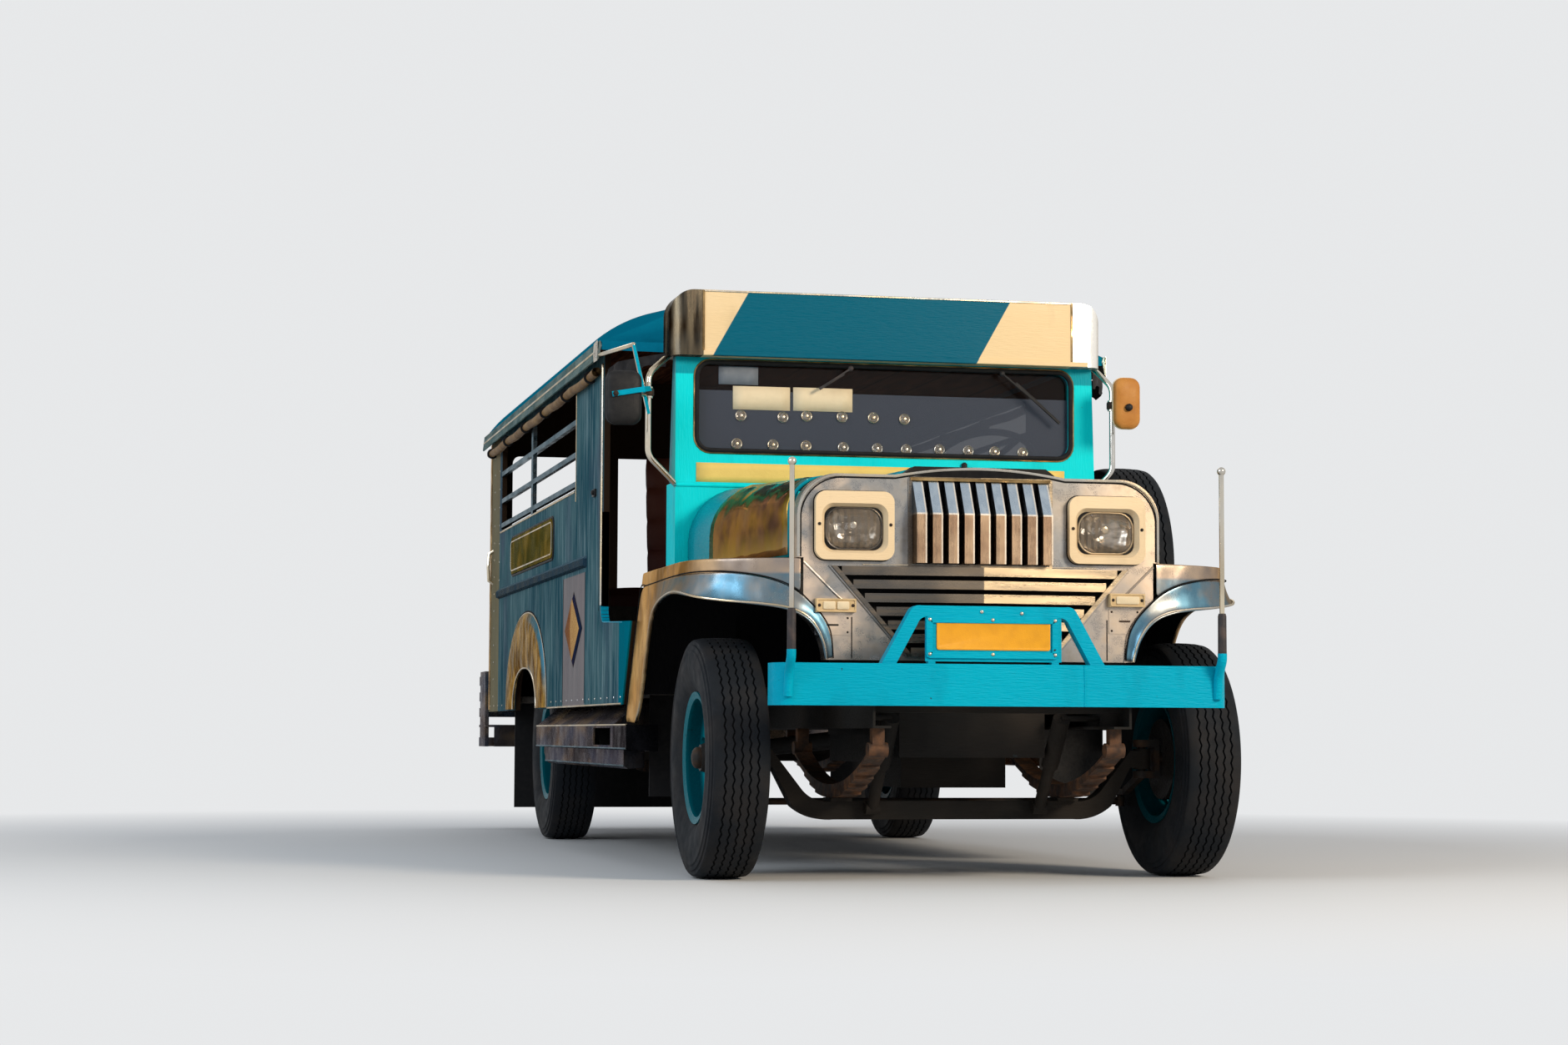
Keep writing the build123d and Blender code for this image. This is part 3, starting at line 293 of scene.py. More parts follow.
BUMPER_BLUE = (0.0, 0.33, 0.48)
TURQUOISE = (0.0, 0.66, 0.70)
bumper_paint = enamel("turquoise_brushed_level", BUMPER_BLUE, stroke=(1, 9, 9), faded=(0.0, 0.40, 0.54),
                      relief=0.0026, gloss=0.04)
hood_paint = enamel("turquoise_hood", (0.0, 0.24, 0.31), stroke=(6, 1, 6), faded=(0.01, 0.36, 0.42))
roof_paint = enamel("roof_teal", (0.002, 0.16, 0.25), stroke=(6, 1, 6), chips=0.76, roughness=0.6,
                    faded=(0.003, 0.20, 0.30), gloss=0)
bezel_paint = enamel("cream_enamel", (0.74, 0.57, 0.36), chips=0.78, roughness=0.3, faded=(0.80, 0.66, 0.45))
chassis_paint = enamel("chassis_black", (0.016, 0.015, 0.014), chips=0.72, roughness=0.6,
                       faded=(0.045, 0.034, 0.026))


def surround_paint():
    """Turquoise, with painted shade in a band under the sign box and on the right-hand side, lighter where it
    was repainted.
    """
    made = enamel("turquoise_surround", TURQUOISE, stroke=(8, 8, 1), chips=0.75, faded=(0.01, 0.76, 0.78))
    x, _, z = axis_values(made)
    # Painted shade: a darker band under the sign box, and a darker right-hand side.
    overlay(made, remap(made, z, 1.798, 1.803, 0, 0.75), (0.0, 0.20, 0.28))
    overlay(made, remap(made, x, -0.799, -0.795, 0.85, 0), (0.05, 0.17, 0.20))
    return made


def sign_paint():
    """Cream, with a leaning teal field across the front that stays bare of lettering."""
    made = enamel("sign_panel", (0.78, 0.58, 0.33), chips=0.78, roughness=0.3, faded=(0.84, 0.66, 0.42),
                  patchy=0.7)
    x, y, z = axis_values(made)
    lean = minus(made, x, times(made, z, 0.56))
    field = between(made, lean, -1.7133, -0.7113, 0.0012)
    front = remap(made, y, along(0.855), along(0.857), 1, 0)
    overlay(made, times(made, field, front), (0.001, 0.105, 0.165))
    return made


UNDERSEAL_BLACK = (0.006, 0.006, 0.007)


def cowl_paint():
    """Turquoise above the fenders, and black underseal below them, inside the wheel arches."""
    made = enamel("turquoise_cowl", TURQUOISE, stroke=(8, 8, 1), chips=0.75, faded=(0.01, 0.60, 0.62))
    overlay(made, remap(made, axis_values(made)[2], 1.046, 1.050, 1, 0), UNDERSEAL_BLACK)
    return made


turquoise_upright = surround_paint()
turquoise_cowl = cowl_paint()
sign_panel = sign_paint()
print("enamels made")

# %% [markdown]
# ## Stainless sheet
#
# Most of the body is stainless sheet that was polished by hand and then lived outdoors. It mirrors a
# street that is warm brown in places and sky blue in others, which is why its tint drifts slowly
# between two colours. The sheet is slightly wavy, so reflections bend; fine scratches run one way; and
# water stains dull it in streaks. Waves and scratches are two bumps, one under the other.

# %% Stainless finishes
def stainless(name, cool, warm, shine=0.16, dull=0.40, stretch=(1, 1, 6), stain=(0.16, 0.12, 0.08),
              stain_amount=0.5, wave=0.004, wave_scale=3.5, drift=2.2, metal=1.0, edge=(0.75, 0.70, 0.62),
              fine=5, gloss=0.2, scratches=0.0002):
    made = start_material(name, cool, shine, metallic=metal, gloss=gloss)
    shader_of(made).inputs["Specular Tint"].default_value = (*edge, 1)
    tint = mix(made, remap(made, noise(made, drift, detail=3, shift=(4, 2, 6)), 0.42, 0.60), cool, warm)
    streak = noise(made, 7, stretch=stretch, detail=fine)
    scratch = noise(made, 60, stretch=tuple(2 * s for s in stretch), detail=2, shift=(1, 4, 2))
    set_colour(made, mix(made, remap(made, streak, 0.48, 0.72, 0, stain_amount), tint, stain))
    set_roughness(made, plus(made, remap(made, streak, 0.4, 0.75, shine, dull),
                             remap(made, scratch, 0.4, 0.7, -0.03, 0.06)))
    waves = bump(made, noise(made, wave_scale, detail=1, shift=(2, 5, 1)), wave)
    bump(made, scratch, scratches, under=waves)
    return made


polished = stainless("polished_stainless", (0.42, 0.44, 0.46), (0.66, 0.58, 0.46))
golden = stainless("golden_stainless", (0.22, 0.14, 0.06), (0.46, 0.31, 0.14), shine=0.10, dull=0.32,
                   wave=0.010, wave_scale=12, drift=9, stain=(0.07, 0.045, 0.02), stain_amount=0.7,
                   stretch=(3, 3, 2), metal=0.85, edge=(0.60, 0.42, 0.22))
rail_steel = stainless("window_rail_steel", (0.10, 0.15, 0.18), (0.24, 0.28, 0.30), shine=0.22, drift=6,
                       edge=(0.35, 0.42, 0.46), gloss=0)
eave_steel = stainless("eave_stainless", (0.06, 0.12, 0.13), (0.20, 0.24, 0.22), shine=0.2, drift=5,
                       stretch=(5, 0.6, 5), metal=0.6, edge=(0.22, 0.32, 0.32), gloss=0)
chrome = stainless("chrome_tube", (0.60, 0.58, 0.54), (0.72, 0.62, 0.46), shine=0.08, dull=0.2, wave=0.0005,
                   stretch=(0.8, 0.8, 0.4), fine=1, scratches=0.00001)
rib_steel = stainless("bright_rib", (0.50, 0.47, 0.42), (0.70, 0.56, 0.37), shine=0.2, drift=5,
                      stretch=(1, 1, 1), fine=1, scratches=0.00001)

# %% [markdown]
# ## Stainless on the nose, the steps and the sign box
#
# Each of these pieces mirrors another part of the street, and some lie partly in sun or in shade, so each
# gets further coats of painted reflection, painted light and painted shade over the common recipe.

# %% Nose, step, bar, pole, cap and slat finishes
# The crown's bead is a wide arc: z of its centre, and its radius
CROWN_CENTRE, CROWN_ROUND = 0.1240, 1.2345


def nose_finish():
    """Grey steel with painted sunlight, warmer and brighter, on the driver's side, and black outside the
    crown's bead.
    """
    made = stainless("nose_stainless", (0.23, 0.23, 0.23), (0.46, 0.37, 0.27), shine=0.28, dull=0.5,
                     stretch=(3, 1, 3), stain=(0.13, 0.11, 0.09), wave=0.004)
    x, _, z = axis_values(made, shift=(0, 0, -CROWN_CENTRE))
    # Painted sunlight on the driver's side of the nose.
    sunny = times(made, remap(made, x, 0.30, 0.62, 0, 0.75),
                  remap(made, noise(made, 3, detail=3, shift=(1, 6, 3)), 0.35, 0.6, 0.3, 1))
    overlay(made, sunny, (0.72, 0.54, 0.38))
    patch = times(made, remap(made, x, -0.36, -0.46),
                  remap(made, noise(made, 6, detail=3, shift=(6, 1, 3)), 0.48, 0.62, 0, 0.8))
    overlay(made, patch, (0.60, 0.48, 0.38))
    above = times(made, remap(made, distance(made, x, z), CROWN_ROUND, CROWN_ROUND + 0.001),
                  remap(made, absolute(made, x), 0.286, 0.290, 1, 0))
    coat(made, above, UNDERSEAL_BLACK)
    return made


def step_finish():
    """Smooth folded sheet with painted reflections of the street in upright bands, some sunlit and some blue,
    and painted shade at its front end.
    """
    made = stainless("step_stainless", (0.075, 0.066, 0.072), (0.16, 0.13, 0.12), shine=0.18, dull=0.34,
                     stretch=(0.9, 0.35, 0.6), stain=(0.026, 0.020, 0.020), stain_amount=0.7, drift=3,
                     metal=0.8, edge=(0.22, 0.20, 0.21), wave=0.006, wave_scale=7, fine=1, gloss=0,
                     scratches=0.00002)
    sunny = remap(made, noise(made, 9, stretch=(1, 0.30, 0.9), detail=1, shift=(2, 9, 4)), 0.48, 0.66, 0, 0.6)
    overlay(made, sunny, (0.46, 0.31, 0.17))
    blue = remap(made, noise(made, 8, stretch=(1, 0.30, 0.9), detail=1, shift=(8, 3, 1)), 0.48, 0.66, 0, 0.7)
    overlay(made, blue, (0.09, 0.12, 0.18))
    # Painted shade over the front end of the step.
    overlay(made, remap(made, axis_values(made)[1], along(1.02), along(1.06), 1, 0), (0.010, 0.010, 0.012))
    return made


def bar_finish():
    """Each half of a bar is flat: the driver's half mirrors the sun, and the other the road."""
    made = stainless("bar_stainless", (0.11, 0.10, 0.09), (0.30, 0.23, 0.16), shine=0.26, stretch=(0.5, 1, 8))
    sunny = times(made, remap(made, axis_values(made)[0], -0.001, 0.001, 0, 0.8),
                  remap(made, noise(made, 8, stretch=(0.3, 1, 3)), 0.35, 0.6, 0.5, 1))
    overlay(made, sunny, (0.62, 0.47, 0.29))
    return made


def pole_finish():
    """Chrome rods on feet that were brushed over with the bumper's paint."""
    made = stainless("pole_chrome", (0.60, 0.56, 0.50), (0.72, 0.60, 0.44), shine=0.10, dull=0.24,
                     wave=0.0005)
    coat(made, remap(made, axis_values(made)[2], 0.7175, 0.7185, 1, 0), BUMPER_BLUE)
    return made


def cap_finish():
    """The caps mirror the street in upright bands, and the driver's one mirrors the sun."""
    made = stainless("sign_cap_stainless", (0.040, 0.036, 0.03), (0.020, 0.012, 0.006), shine=0.12,
                     stretch=(6, 6, 0.5), wave=0.004, drift=7, metal=0.7, edge=(0.15, 0.13, 0.10), gloss=0)
    bands = remap(made, noise(made, 22, stretch=(1, 1, 0.1), detail=2), 0.42, 0.62, 0, 0.75)
    overlay(made, bands, (0.28, 0.22, 0.14))
    overlay(made, remap(made, axis_values(made)[0], 0.5, 0.6, 0, 0.92), (1.0, 0.98, 0.93))
    return made


# Where the slats start, how far apart they stand, and their gaps and glints as shares of that
SLAT_START, SLAT_PITCH = 0.232, 0.05375
SLAT_GAP, SLAT_GLINT = 0.37, 0.09


def slat_finish():
    """Bluish above the slats' fold, a painted reflection of the sky, bronze below it, with painted glints
    along the fold and each slat's right edge, and painted shade behind the front.
    """
    made = stainless("slat_stainless", (0.30, 0.19, 0.12), (0.44, 0.30, 0.19), shine=0.24,
                     stretch=(8, 8, 0.4), wave=0.001, drift=9)
    x, y, z = axis_values(made)
    overlay(made, remap(made, z, 1.2005, 1.2035), (0.36, 0.43, 0.50))
    # A painted glint along the fold.
    overlay(made, times(made, between(made, z, 1.1985, 1.2045, 0.001), 0.8), (0.80, 0.74, 0.66))
    pitch = calculate(made, "FRACT", calculate(made, "DIVIDE", plus(made, x, SLAT_START), SLAT_PITCH))
    # Painted shade on the faces behind the slats' front.
    overlay(made, remap(made, y, along(-0.3600), along(-0.3585)), (0.004, 0.004, 0.005))
    # Painted glints along each slat's right edge.
    right_edge = between(made, pitch, 1 - SLAT_GLINT - SLAT_GAP, 1 - SLAT_GAP, 0.02)
    overlay(made, times(made, right_edge, 0.8), (0.85, 0.74, 0.60))
    return made


# %% [markdown]
# ## Stainless on the sides, fenders and hood
#
# The sides are duller and streaked from the brush, carry painted fields between two panel lines, and have
# painted shade on their faces inside the body. Trim, fenders, hood plates, arch covers and lozenges were
# polished more and look golden, apart from the faces that look at the sky, which carry a painted reflection
# of it; some carry painted highlights too.

# %% Side, trim, fender, hood plate, arch and lozenge finishes
PANEL_LINES = (1.921, 2.532)
LOZENGE_PLACE, LOZENGE_HALF, LOZENGE_BORDER = (2.2295, 0.8995), (0.232, 0.148), (0.2355, 0.1505)


def side_finish():
    """Upright streaks, the painted strip by the door, the pale panel and the lozenge's dark border."""
    made = stainless("side_stainless", (0.024, 0.092, 0.120), (0.072, 0.160, 0.180), shine=0.34, dull=0.58,
                     stretch=(3, 3, 0.35), stain=(0.20, 0.30, 0.33), wave=0.003, stain_amount=0.5, drift=2.4,
                     metal=0.3, edge=(0.02, 0.13, 0.17), fine=3, gloss=0, scratches=0.00008)
    strokes = noise(made, 26, stretch=(1, 2.2, 0.14), detail=5, shift=(3, 3, 3))
    overlay(made, remap(made, strokes, 0.50, 0.70, 0, 0.50), (0.33, 0.43, 0.44))
    violet = noise(made, 2.6, stretch=(1, 1, 0.5), detail=2, shift=(5, 8, 2))
    overlay(made, remap(made, violet, 0.52, 0.66, 0, 0.5), (0.10, 0.11, 0.16))
    x, y, z = station_values(made)
    outside = remap(made, absolute(made, x), 0.970, 0.972)
    pale = times(made, between(made, y, *PANEL_LINES), remap(made, z, 1.118, 1.122, 1, 0), outside, 0.80)
    overlay(made, pale, (0.34, 0.27, 0.26))
    border = plus(made, *(away_from(made, *line) for line in zip((y, z), LOZENGE_PLACE, LOZENGE_BORDER)))
    overlay(made, times(made, remap(made, border, 1.02, 1.06, 1, 0), outside), (0.03, 0.02, 0.012))
    overlay(made, times(made, remap(made, y, 4.79, 4.80), outside, 0.7), (0.34, 0.25, 0.12))
    overlay(made, remap(made, y, 1.062, 1.066, 1, 0), (0.0, 0.17, 0.23))
    # Painted shade, dark brown, on the faces inside the body.
    inside_shade = times(made, remap(made, absolute(made, x), 0.966, 0.970, 1, 0),
                  remap(made, y, 5.163, 5.167, 1, 0))
    overlay(made, inside_shade, (0.035, 0.020, 0.012))
    return made


def trim_finish():
    """The rub rail is grey blue and the raised panel above it mirrors trees in olive gold."""
    made = stainless("trim_stainless", (0.10, 0.085, 0.008), (0.26, 0.17, 0.02), shine=0.2,
                     stretch=(1, 1, 1.5), drift=5, metal=0.4, edge=(0.14, 0.11, 0.02),
                     stain=(0.03, 0.03, 0.004), fine=2, gloss=0, scratches=0.00005)
    z = axis_values(made)[2]
    overlay(made, remap(made, z, 1.195, 1.2, 1, 0), (0.035, 0.075, 0.115))
    overlay(made, times(made, between(made, z, 1.172, 1.19), 0.7), (0.13, 0.22, 0.28))
    return made


def fender_finish():
    """Golden brown along the top band and the tail, with a painted highlight on the tail, and a painted
    reflection of the sky on the flare, blue with brown specks.
    """
    made = stainless("fender_stainless", (0.26, 0.17, 0.10), (0.66, 0.42, 0.20), shine=0.30, dull=0.48,
                     stretch=(3, 3, 1), stain=(0.11, 0.07, 0.035), wave=0.012, drift=6, wave_scale=9,
                     edge=(0.62, 0.44, 0.28), gloss=0.08, scratches=0.0001)
    _, y, z = station_values(made)
    specks = remap(made, noise(made, 7, detail=4), 0.45, 0.62)
    speckled_sky_reflection = mix(made, specks, (0.09, 0.19, 0.26), (0.20, 0.21, 0.21))
    low = remap(made, z, 0.998, 1.008, 1, 0)
    ahead = remap(made, y, 0.22, 0.42, 1, 0)
    overlay(made, remap(made, y, -0.34, -0.12, 0.55, 0), (0.34, 0.32, 0.32))
    # A painted reflection of the sky, speckled, on the front of the flare.
    overlay(made, times(made, low, ahead), speckled_sky_reflection)
    # A painted highlight, bright gold, on the tail.
    tail = times(made, remap(made, y, 0.40, 0.52),
                 remap(made, noise(made, 7, detail=3, shift=(9, 4, 7)), 0.40, 0.62, 0.1, 0.85))
    overlay(made, tail, (0.85, 0.60, 0.30))
    return made


def hood_plate_finish():
    """Painted reflections of trees above and of the street below, as dark olive and gold patches, with a
    painted reflection in teal along the top.
    """
    made = stainless("hood_plate_stainless", (0.085, 0.065, 0.012), (0.30, 0.18, 0.045), shine=0.08,
                     dull=0.22, stretch=(1.2, 0.8, 1.2), stain=(0.05, 0.045, 0.02), wave=0.012,
                     stain_amount=0.7, drift=6, wave_scale=7, metal=0.8, edge=(0.50, 0.34, 0.12), fine=3)
    z = axis_values(made)[2]
    # A painted reflection in teal along the top, and a warm one of the street along the foot.
    overlay(made, remap(made, z, 1.28, 1.335, 0, 0.8), (0.05, 0.28, 0.32))
    overlay(made, remap(made, z, 1.09, 1.17, 0.7, 0), (0.42, 0.30, 0.17))
    return made


def arch_finish():
    """Gold with dark scratches; the part of its turned-down margin that looks ahead mirrors the sky."""
    made = stainless("arch_stainless", (0.20, 0.13, 0.05), (0.66, 0.43, 0.17), shine=0.12, dull=0.32,
                     wave=0.008, wave_scale=10, drift=8, stain=(0.08, 0.045, 0.02), stain_amount=0.9,
                     stretch=(3, 3, 1), metal=0.6, edge=(0.36, 0.24, 0.10), gloss=0, scratches=0.0001)
    x, y, z = station_values(made)
    margin = times(made, remap(made, absolute(made, x), 0.9865, 0.9885, 1, 0),
                   remap(made, y, 3.46, 3.66, 0.95, 0), remap(made, z, 0.64, 0.78))
    overlay(made, margin, (0.08, 0.28, 0.42))
    return made


def lozenge_finish():
    """Orange brown behind, painted light in bright gold from its middle forwards, and a painted reflection in
    dark blue on the margin that looks ahead.
    """
    made = stainless("lozenge_gold", (0.24, 0.085, 0.018), (0.34, 0.14, 0.035), shine=0.22, drift=9,
                     metal=0.4, edge=(0.28, 0.13, 0.05), stretch=(1, 1, 2), fine=2, gloss=0)
    _, y, z = station_values(made)
    # Painted light on the faces ahead of the middle.
    overlay(made, remap(made, y, 2.236, 2.224, 0, 0.9), (0.68, 0.44, 0.19))
    spread = plus(made, *(away_from(made, *line) for line in zip((y, z), LOZENGE_PLACE, LOZENGE_HALF)))
    # A painted reflection of the sky on the margin that looks ahead.
    edge = times(made, remap(made, spread, 0.84, 0.86), remap(made, y, 2.228, 2.231, 1, 0))
    overlay(made, edge, (0.02, 0.035, 0.08))
    return made


shell_steel, bar_steel, cap_steel, pole_chrome = nose_finish(), bar_finish(), cap_finish(), pole_finish()
step_steel, arch_steel, lozenge_gold = step_finish(), arch_finish(), lozenge_finish()
slat_steel, side_steel, trim_steel = slat_finish(), side_finish(), trim_finish()
fender_steel, hood_plate_steel = fender_finish(), hood_plate_finish()
print("stainless finishes made")

# %% [markdown]
# ## Rubber, iron, wood, glass and trim
#
# The remaining hard finishes. Tyre rubber is near black with brown road dust, iron under the vehicle is
# rough with rust blooming through old black paint, and glass is a thin dark pane whose lower two thirds
# carry a grey film. The ceiling is lined with dark red boards, which only its downward faces show.

# %% Smaller finishes
def mottled(name, colour, other, roughness, scale, amount=0.8, metallic=0.0, relief=0.0006):
    """Two tones in patches of a scale and an amount, with a fine grain in the bump."""
    made = start_material(name, colour, roughness, metallic, gloss=0.15)
    patch = remap(made, noise(made, scale, detail=6), 0.42, 0.72, 0, amount)
    set_colour(made, mix(made, patch, colour, other))
    set_roughness(made, remap(made, noise(made, scale * 3), 0.3, 0.7, roughness - 0.1, roughness + 0.1))
    bump(made, noise(made, scale * 12, detail=2), relief)
    return made


tyre_rubber = mottled("tyre_rubber", (0.007, 0.009, 0.012), (0.022, 0.019, 0.018), 0.75, 7, 0.7)
iron = mottled("oily_iron", (0.022, 0.020, 0.019), (0.07, 0.036, 0.018), 0.6, 18, metallic=0.3)
spring_steel = mottled("rusty_leaves", (0.05, 0.032, 0.024), (0.18, 0.08, 0.035), 0.65, 22, metallic=0.3)
black_rubber = mottled("black_rubber", (0.008, 0.008, 0.009), (0.02, 0.018, 0.017), 0.6, 30, 0.4)
black_plastic = mottled("black_moulding", (0.012, 0.012, 0.013), (0.03, 0.028, 0.026), 0.45, 40, 0.4)
floor_plate = mottled("scuffed_floor", (0.05, 0.045, 0.04), (0.12, 0.10, 0.08), 0.6, 9, metallic=0.4)
underseal = mottled("underseal", (0.006, 0.006, 0.007), (0.012, 0.011, 0.010), 0.9, 20, 0.5)
plate_yellow = mottled("blank_plate_yellow", (0.72, 0.33, 0.02), (0.52, 0.22, 0.02), 0.42, 25, 0.35)
strip_yellow = mottled("route_strip_yellow", (0.80, 0.57, 0.16), (0.60, 0.40, 0.10), 0.5, 12, 0.35)
card_cream = mottled("blank_card", (0.75, 0.62, 0.42), (0.62, 0.50, 0.32), 0.6, 30, 0.3)
paper_grey = mottled("blank_paper", (0.16, 0.18, 0.21), (0.24, 0.26, 0.28), 0.6, 30, 0.4)
amber_brown = mottled("amber_mirror_back", (0.42, 0.17, 0.035), (0.56, 0.27, 0.07), 0.5, 16, 0.6)
lamp_cream = mottled("marker_housing", (0.66, 0.48, 0.26), (0.40, 0.28, 0.14), 0.45, 20, 0.5)
tail_red = mottled("tail_lens_red", (0.35, 0.01, 0.008), (0.22, 0.006, 0.006), 0.15, 60, 0.5)
vinyl = mottled("seat_vinyl", (0.10, 0.028, 0.02), (0.16, 0.06, 0.04), 0.42, 5, 0.6, relief=0.0004)
black_canvas = mottled("black_canvas", (0.014, 0.013, 0.014), (0.045, 0.04, 0.038), 0.8, 11, 0.7)
sleeve_grey = mottled("pole_sleeve", (0.035, 0.032, 0.034), (0.10, 0.07, 0.06), 0.5, 30, 0.6)


def boards_below(made):
    """Dark boards on the faces that look down, so that a painted shell is wood inside."""
    geometry = made.node_tree.nodes.new("ShaderNodeNewGeometry")
    split = made.node_tree.nodes.new("ShaderNodeSeparateXYZ")
    join(made, geometry.outputs["Normal"], split.inputs["Vector"])
    downward = remap(made, split.outputs[2], -0.35, -0.15, 1, 0)
    x = axis_values(made)[0]
    wrapped = calculate(made, "FRACT", calculate(made, "DIVIDE", plus(made, x, 5), 0.11))
    groove = remap(made, wrapped, 0.03, 0.06)
    grain = remap(made, noise(made, 16, stretch=(3, 0.3, 3), detail=4), 0.35, 0.65)
    wood = mix(made, grain, (0.05, 0.018, 0.010), (0.13, 0.05, 0.024))
    wood = mix(made, groove, (0.008, 0.005, 0.004), wood)
    set_colour(made, mix(made, downward, colour_of(made), wood))


boards_below(roof_paint)


def curtain_cloth():
    """A coarse plastic-coated weave in brown and gold."""
    made = mottled("curtain_cloth", (0.16, 0.085, 0.03), (0.34, 0.20, 0.07), 0.62, 9)
    threads = [noise(made, 220, stretch=way, detail=1) for way in ((1, 0.15, 1), (0.15, 1, 1))]
    bump(made, plus(made, *threads), 0.0005)
    return made


def window_pane():
    """Dark glass, with a grey film up to a straight edge a third of the way down."""
    made = start_material("window_pane", (0.02, 0.02, 0.022), 0.03, gloss=0.2)
    z = axis_values(made)[2]
    film = remap(made, z, 1.7440, 1.7455, 1, 0)
    set_colour(made, mix(made, film, (0.010, 0.006, 0.005), (0.058, 0.066, 0.088)))
    join(made, remap(made, film, 0, 1, 0.45, 0.78), shader_of(made).inputs["Alpha"])
    set_roughness(made, remap(made, noise(made, 6), 0.4, 0.7, 0.02, 0.07))
    return made


def lamp_lens():
    """A sealed lamp's fluted glass: upright flutes crossed by a few level bars, half clear."""
    made = start_material("fluted_lens", (0.36, 0.30, 0.24), 0.05)
    shader_of(made).inputs["Alpha"].default_value = 0.34
    x, _, z = axis_values(made)
    flutes = calculate(made, "PINGPONG", times(made, x, 90), 1.0)
    levels = calculate(made, "PINGPONG", times(made, z, 48), 1.0)
    bump(made, plus(made, flutes, times(made, levels, 0.6)), 0.006)
    return made


def lamp_bowl():
    """The silvered bowl behind the glass, dark where it mirrors the housing and bright in the middle."""
    return stainless("lamp_bowl", (0.10, 0.08, 0.06), (0.55, 0.50, 0.44), shine=0.06, dull=0.18,
                     stretch=(4, 1, 9), stain=(0.02, 0.017, 0.014), stain_amount=0.9, drift=16, wave=0.01,
                     wave_scale=26)


curtain_fabric = curtain_cloth()
glass = window_pane()
lens, lens_bowl = lamp_lens(), lamp_bowl()
print("smaller finishes made")

# %% [markdown]
# ## Wheels' paint
#
# The rims are turquoise like the body, with painted shade in the barrel and on the disc, but the drum and hub
# in their middle are bare dark iron. Both are one node, so the paint changes by the distance from the wheel's
# own axle, which a Mapping node brings to zero.

# %% Rim paint, one for each wheel
HUB_RADIUS = 0.142
SPARE_HUB_RADIUS = 0.05
WHEEL_CORNERS = ("front_left", "front_right", "rear_left", "rear_right")


def middle_of(node):
    low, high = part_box(node)
    return (low + high) / 2


def rim_paint(name, hub_radius):
    centre = middle_of(name)
    made = enamel(f"{name}_paint", (0.0, 0.25, 0.31), stroke=(4, 4, 4), chips=0.70, faded=(0.01, 0.34, 0.38))
    x, y, z = axis_values(made, shift=(0, -centre.y, -centre.z))
    radius = distance(made, y, z)
    outwards = minus(made, absolute(made, x), abs(centre.x))
    # Painted shade in the barrel deep inside the rim, and lighter painted shade on the disc.
    barrel_shade = times(made, remap(made, outwards, 0.062, 0.076, 0.88, 0), remap(made, radius, 0.170, 0.190))
    overlay(made, barrel_shade, (0.0, 0.018, 0.028))
    overlay(made, remap(made, radius, 0.150, 0.186, 0.30, 0.75), (0.0, 0.06, 0.08))
    overlay(made, remap(made, radius, hub_radius, hub_radius + 0.006, 1, 0), (0.02, 0.018, 0.017))
    return made


# %% [markdown]
# ## Give every node of the frame its finish
#
# A table says which finish each node takes. A node that is shown keeps its own mesh: only its material
# slot changes.

# %% Assign the finishes
def paint(node, material):
    data = nodes[node].data
    data.materials.clear()
    data.materials.append(material)


FINISHES = {
    chassis_paint: "frame_rails front_axle rear_axle drive_shaft fuel_tank exhaust radiator spare_bracket "
                   "shock_absorbers engine_block",
    iron: "knuckle_left knuckle_right tie_rod",
    spring_steel: "leaf_springs",
    bumper_paint: "front_bumper plate_guard",
    hood_paint: "hood",
    turquoise_upright: "windscreen_frame",
    turquoise_cowl: "cowl",
    cap_steel: "header_caps",
    trim_steel: "side_trim",
    chrome: "mirrors",
    pole_chrome: "guide_poles",
    arch_steel: "arch_covers",
    eave_steel: "roof_eaves",
    fender_steel: "front_fenders",
    hood_plate_steel: "hood_plates",
    shell_steel: "grille_shell",
    bar_steel: "lower_grille",
    step_steel: "side_steps rear_step",
    side_steel: "side_panels rear_wall",
    rail_steel: "window_rails",
    slat_steel: "grille_slats",
    bezel_paint: "headlamp_bezels",
    sign_panel: "header_box",
    lens_bowl: "headlamps",
    lamp_cream: "marker_lamps",
    glass: "windscreen_glass",
    roof_paint: "roof_shell",
    floor_plate: "floor bench_boxes",
    black_plastic: "dashboard steering_column steering_wheel",
    vinyl: "bench_cushions front_seats",
    curtain_fabric: "curtain_rolls",
    black_rubber: "mud_flaps",
    tyre_rubber: "spare_tyre tyre_front_left tyre_front_right tyre_rear_left tyre_rear_right",
}
for material, names in FINISHES.items():
    for name in names.split():
        paint(name, material)
for corner in WHEEL_CORNERS:
    paint(f"rim_{corner}", rim_paint(f"rim_{corner}", HUB_RADIUS))
paint("spare_rim", rim_paint("spare_rim", SPARE_HUB_RADIUS))
print("finishes on", len(nodes), "nodes")

# %% [markdown]
# ## Building pieces
#
# Pieces that the frame leaves out are modelled with bmesh operators. Most are of three kinds. A run is
# one section carried along a flat path, as a bead, gasket or moulding is. A turned piece is a profile
# spun about its axis, as a bolt or lamp is. A skin is bridged from one chain of points to the next, as
# a beaten panel is. Every piece rides on a body and has only its real edges sharp.

# %% Modelling helpers
SHARP_ANGLE = radians(35)
SIDES = (("right", -1), ("left", 1))


def spaced(first, last, count):
    """Even steps from first to last, count of them."""
    return [first + (last - first) * k / count for k in range(count + 1)]


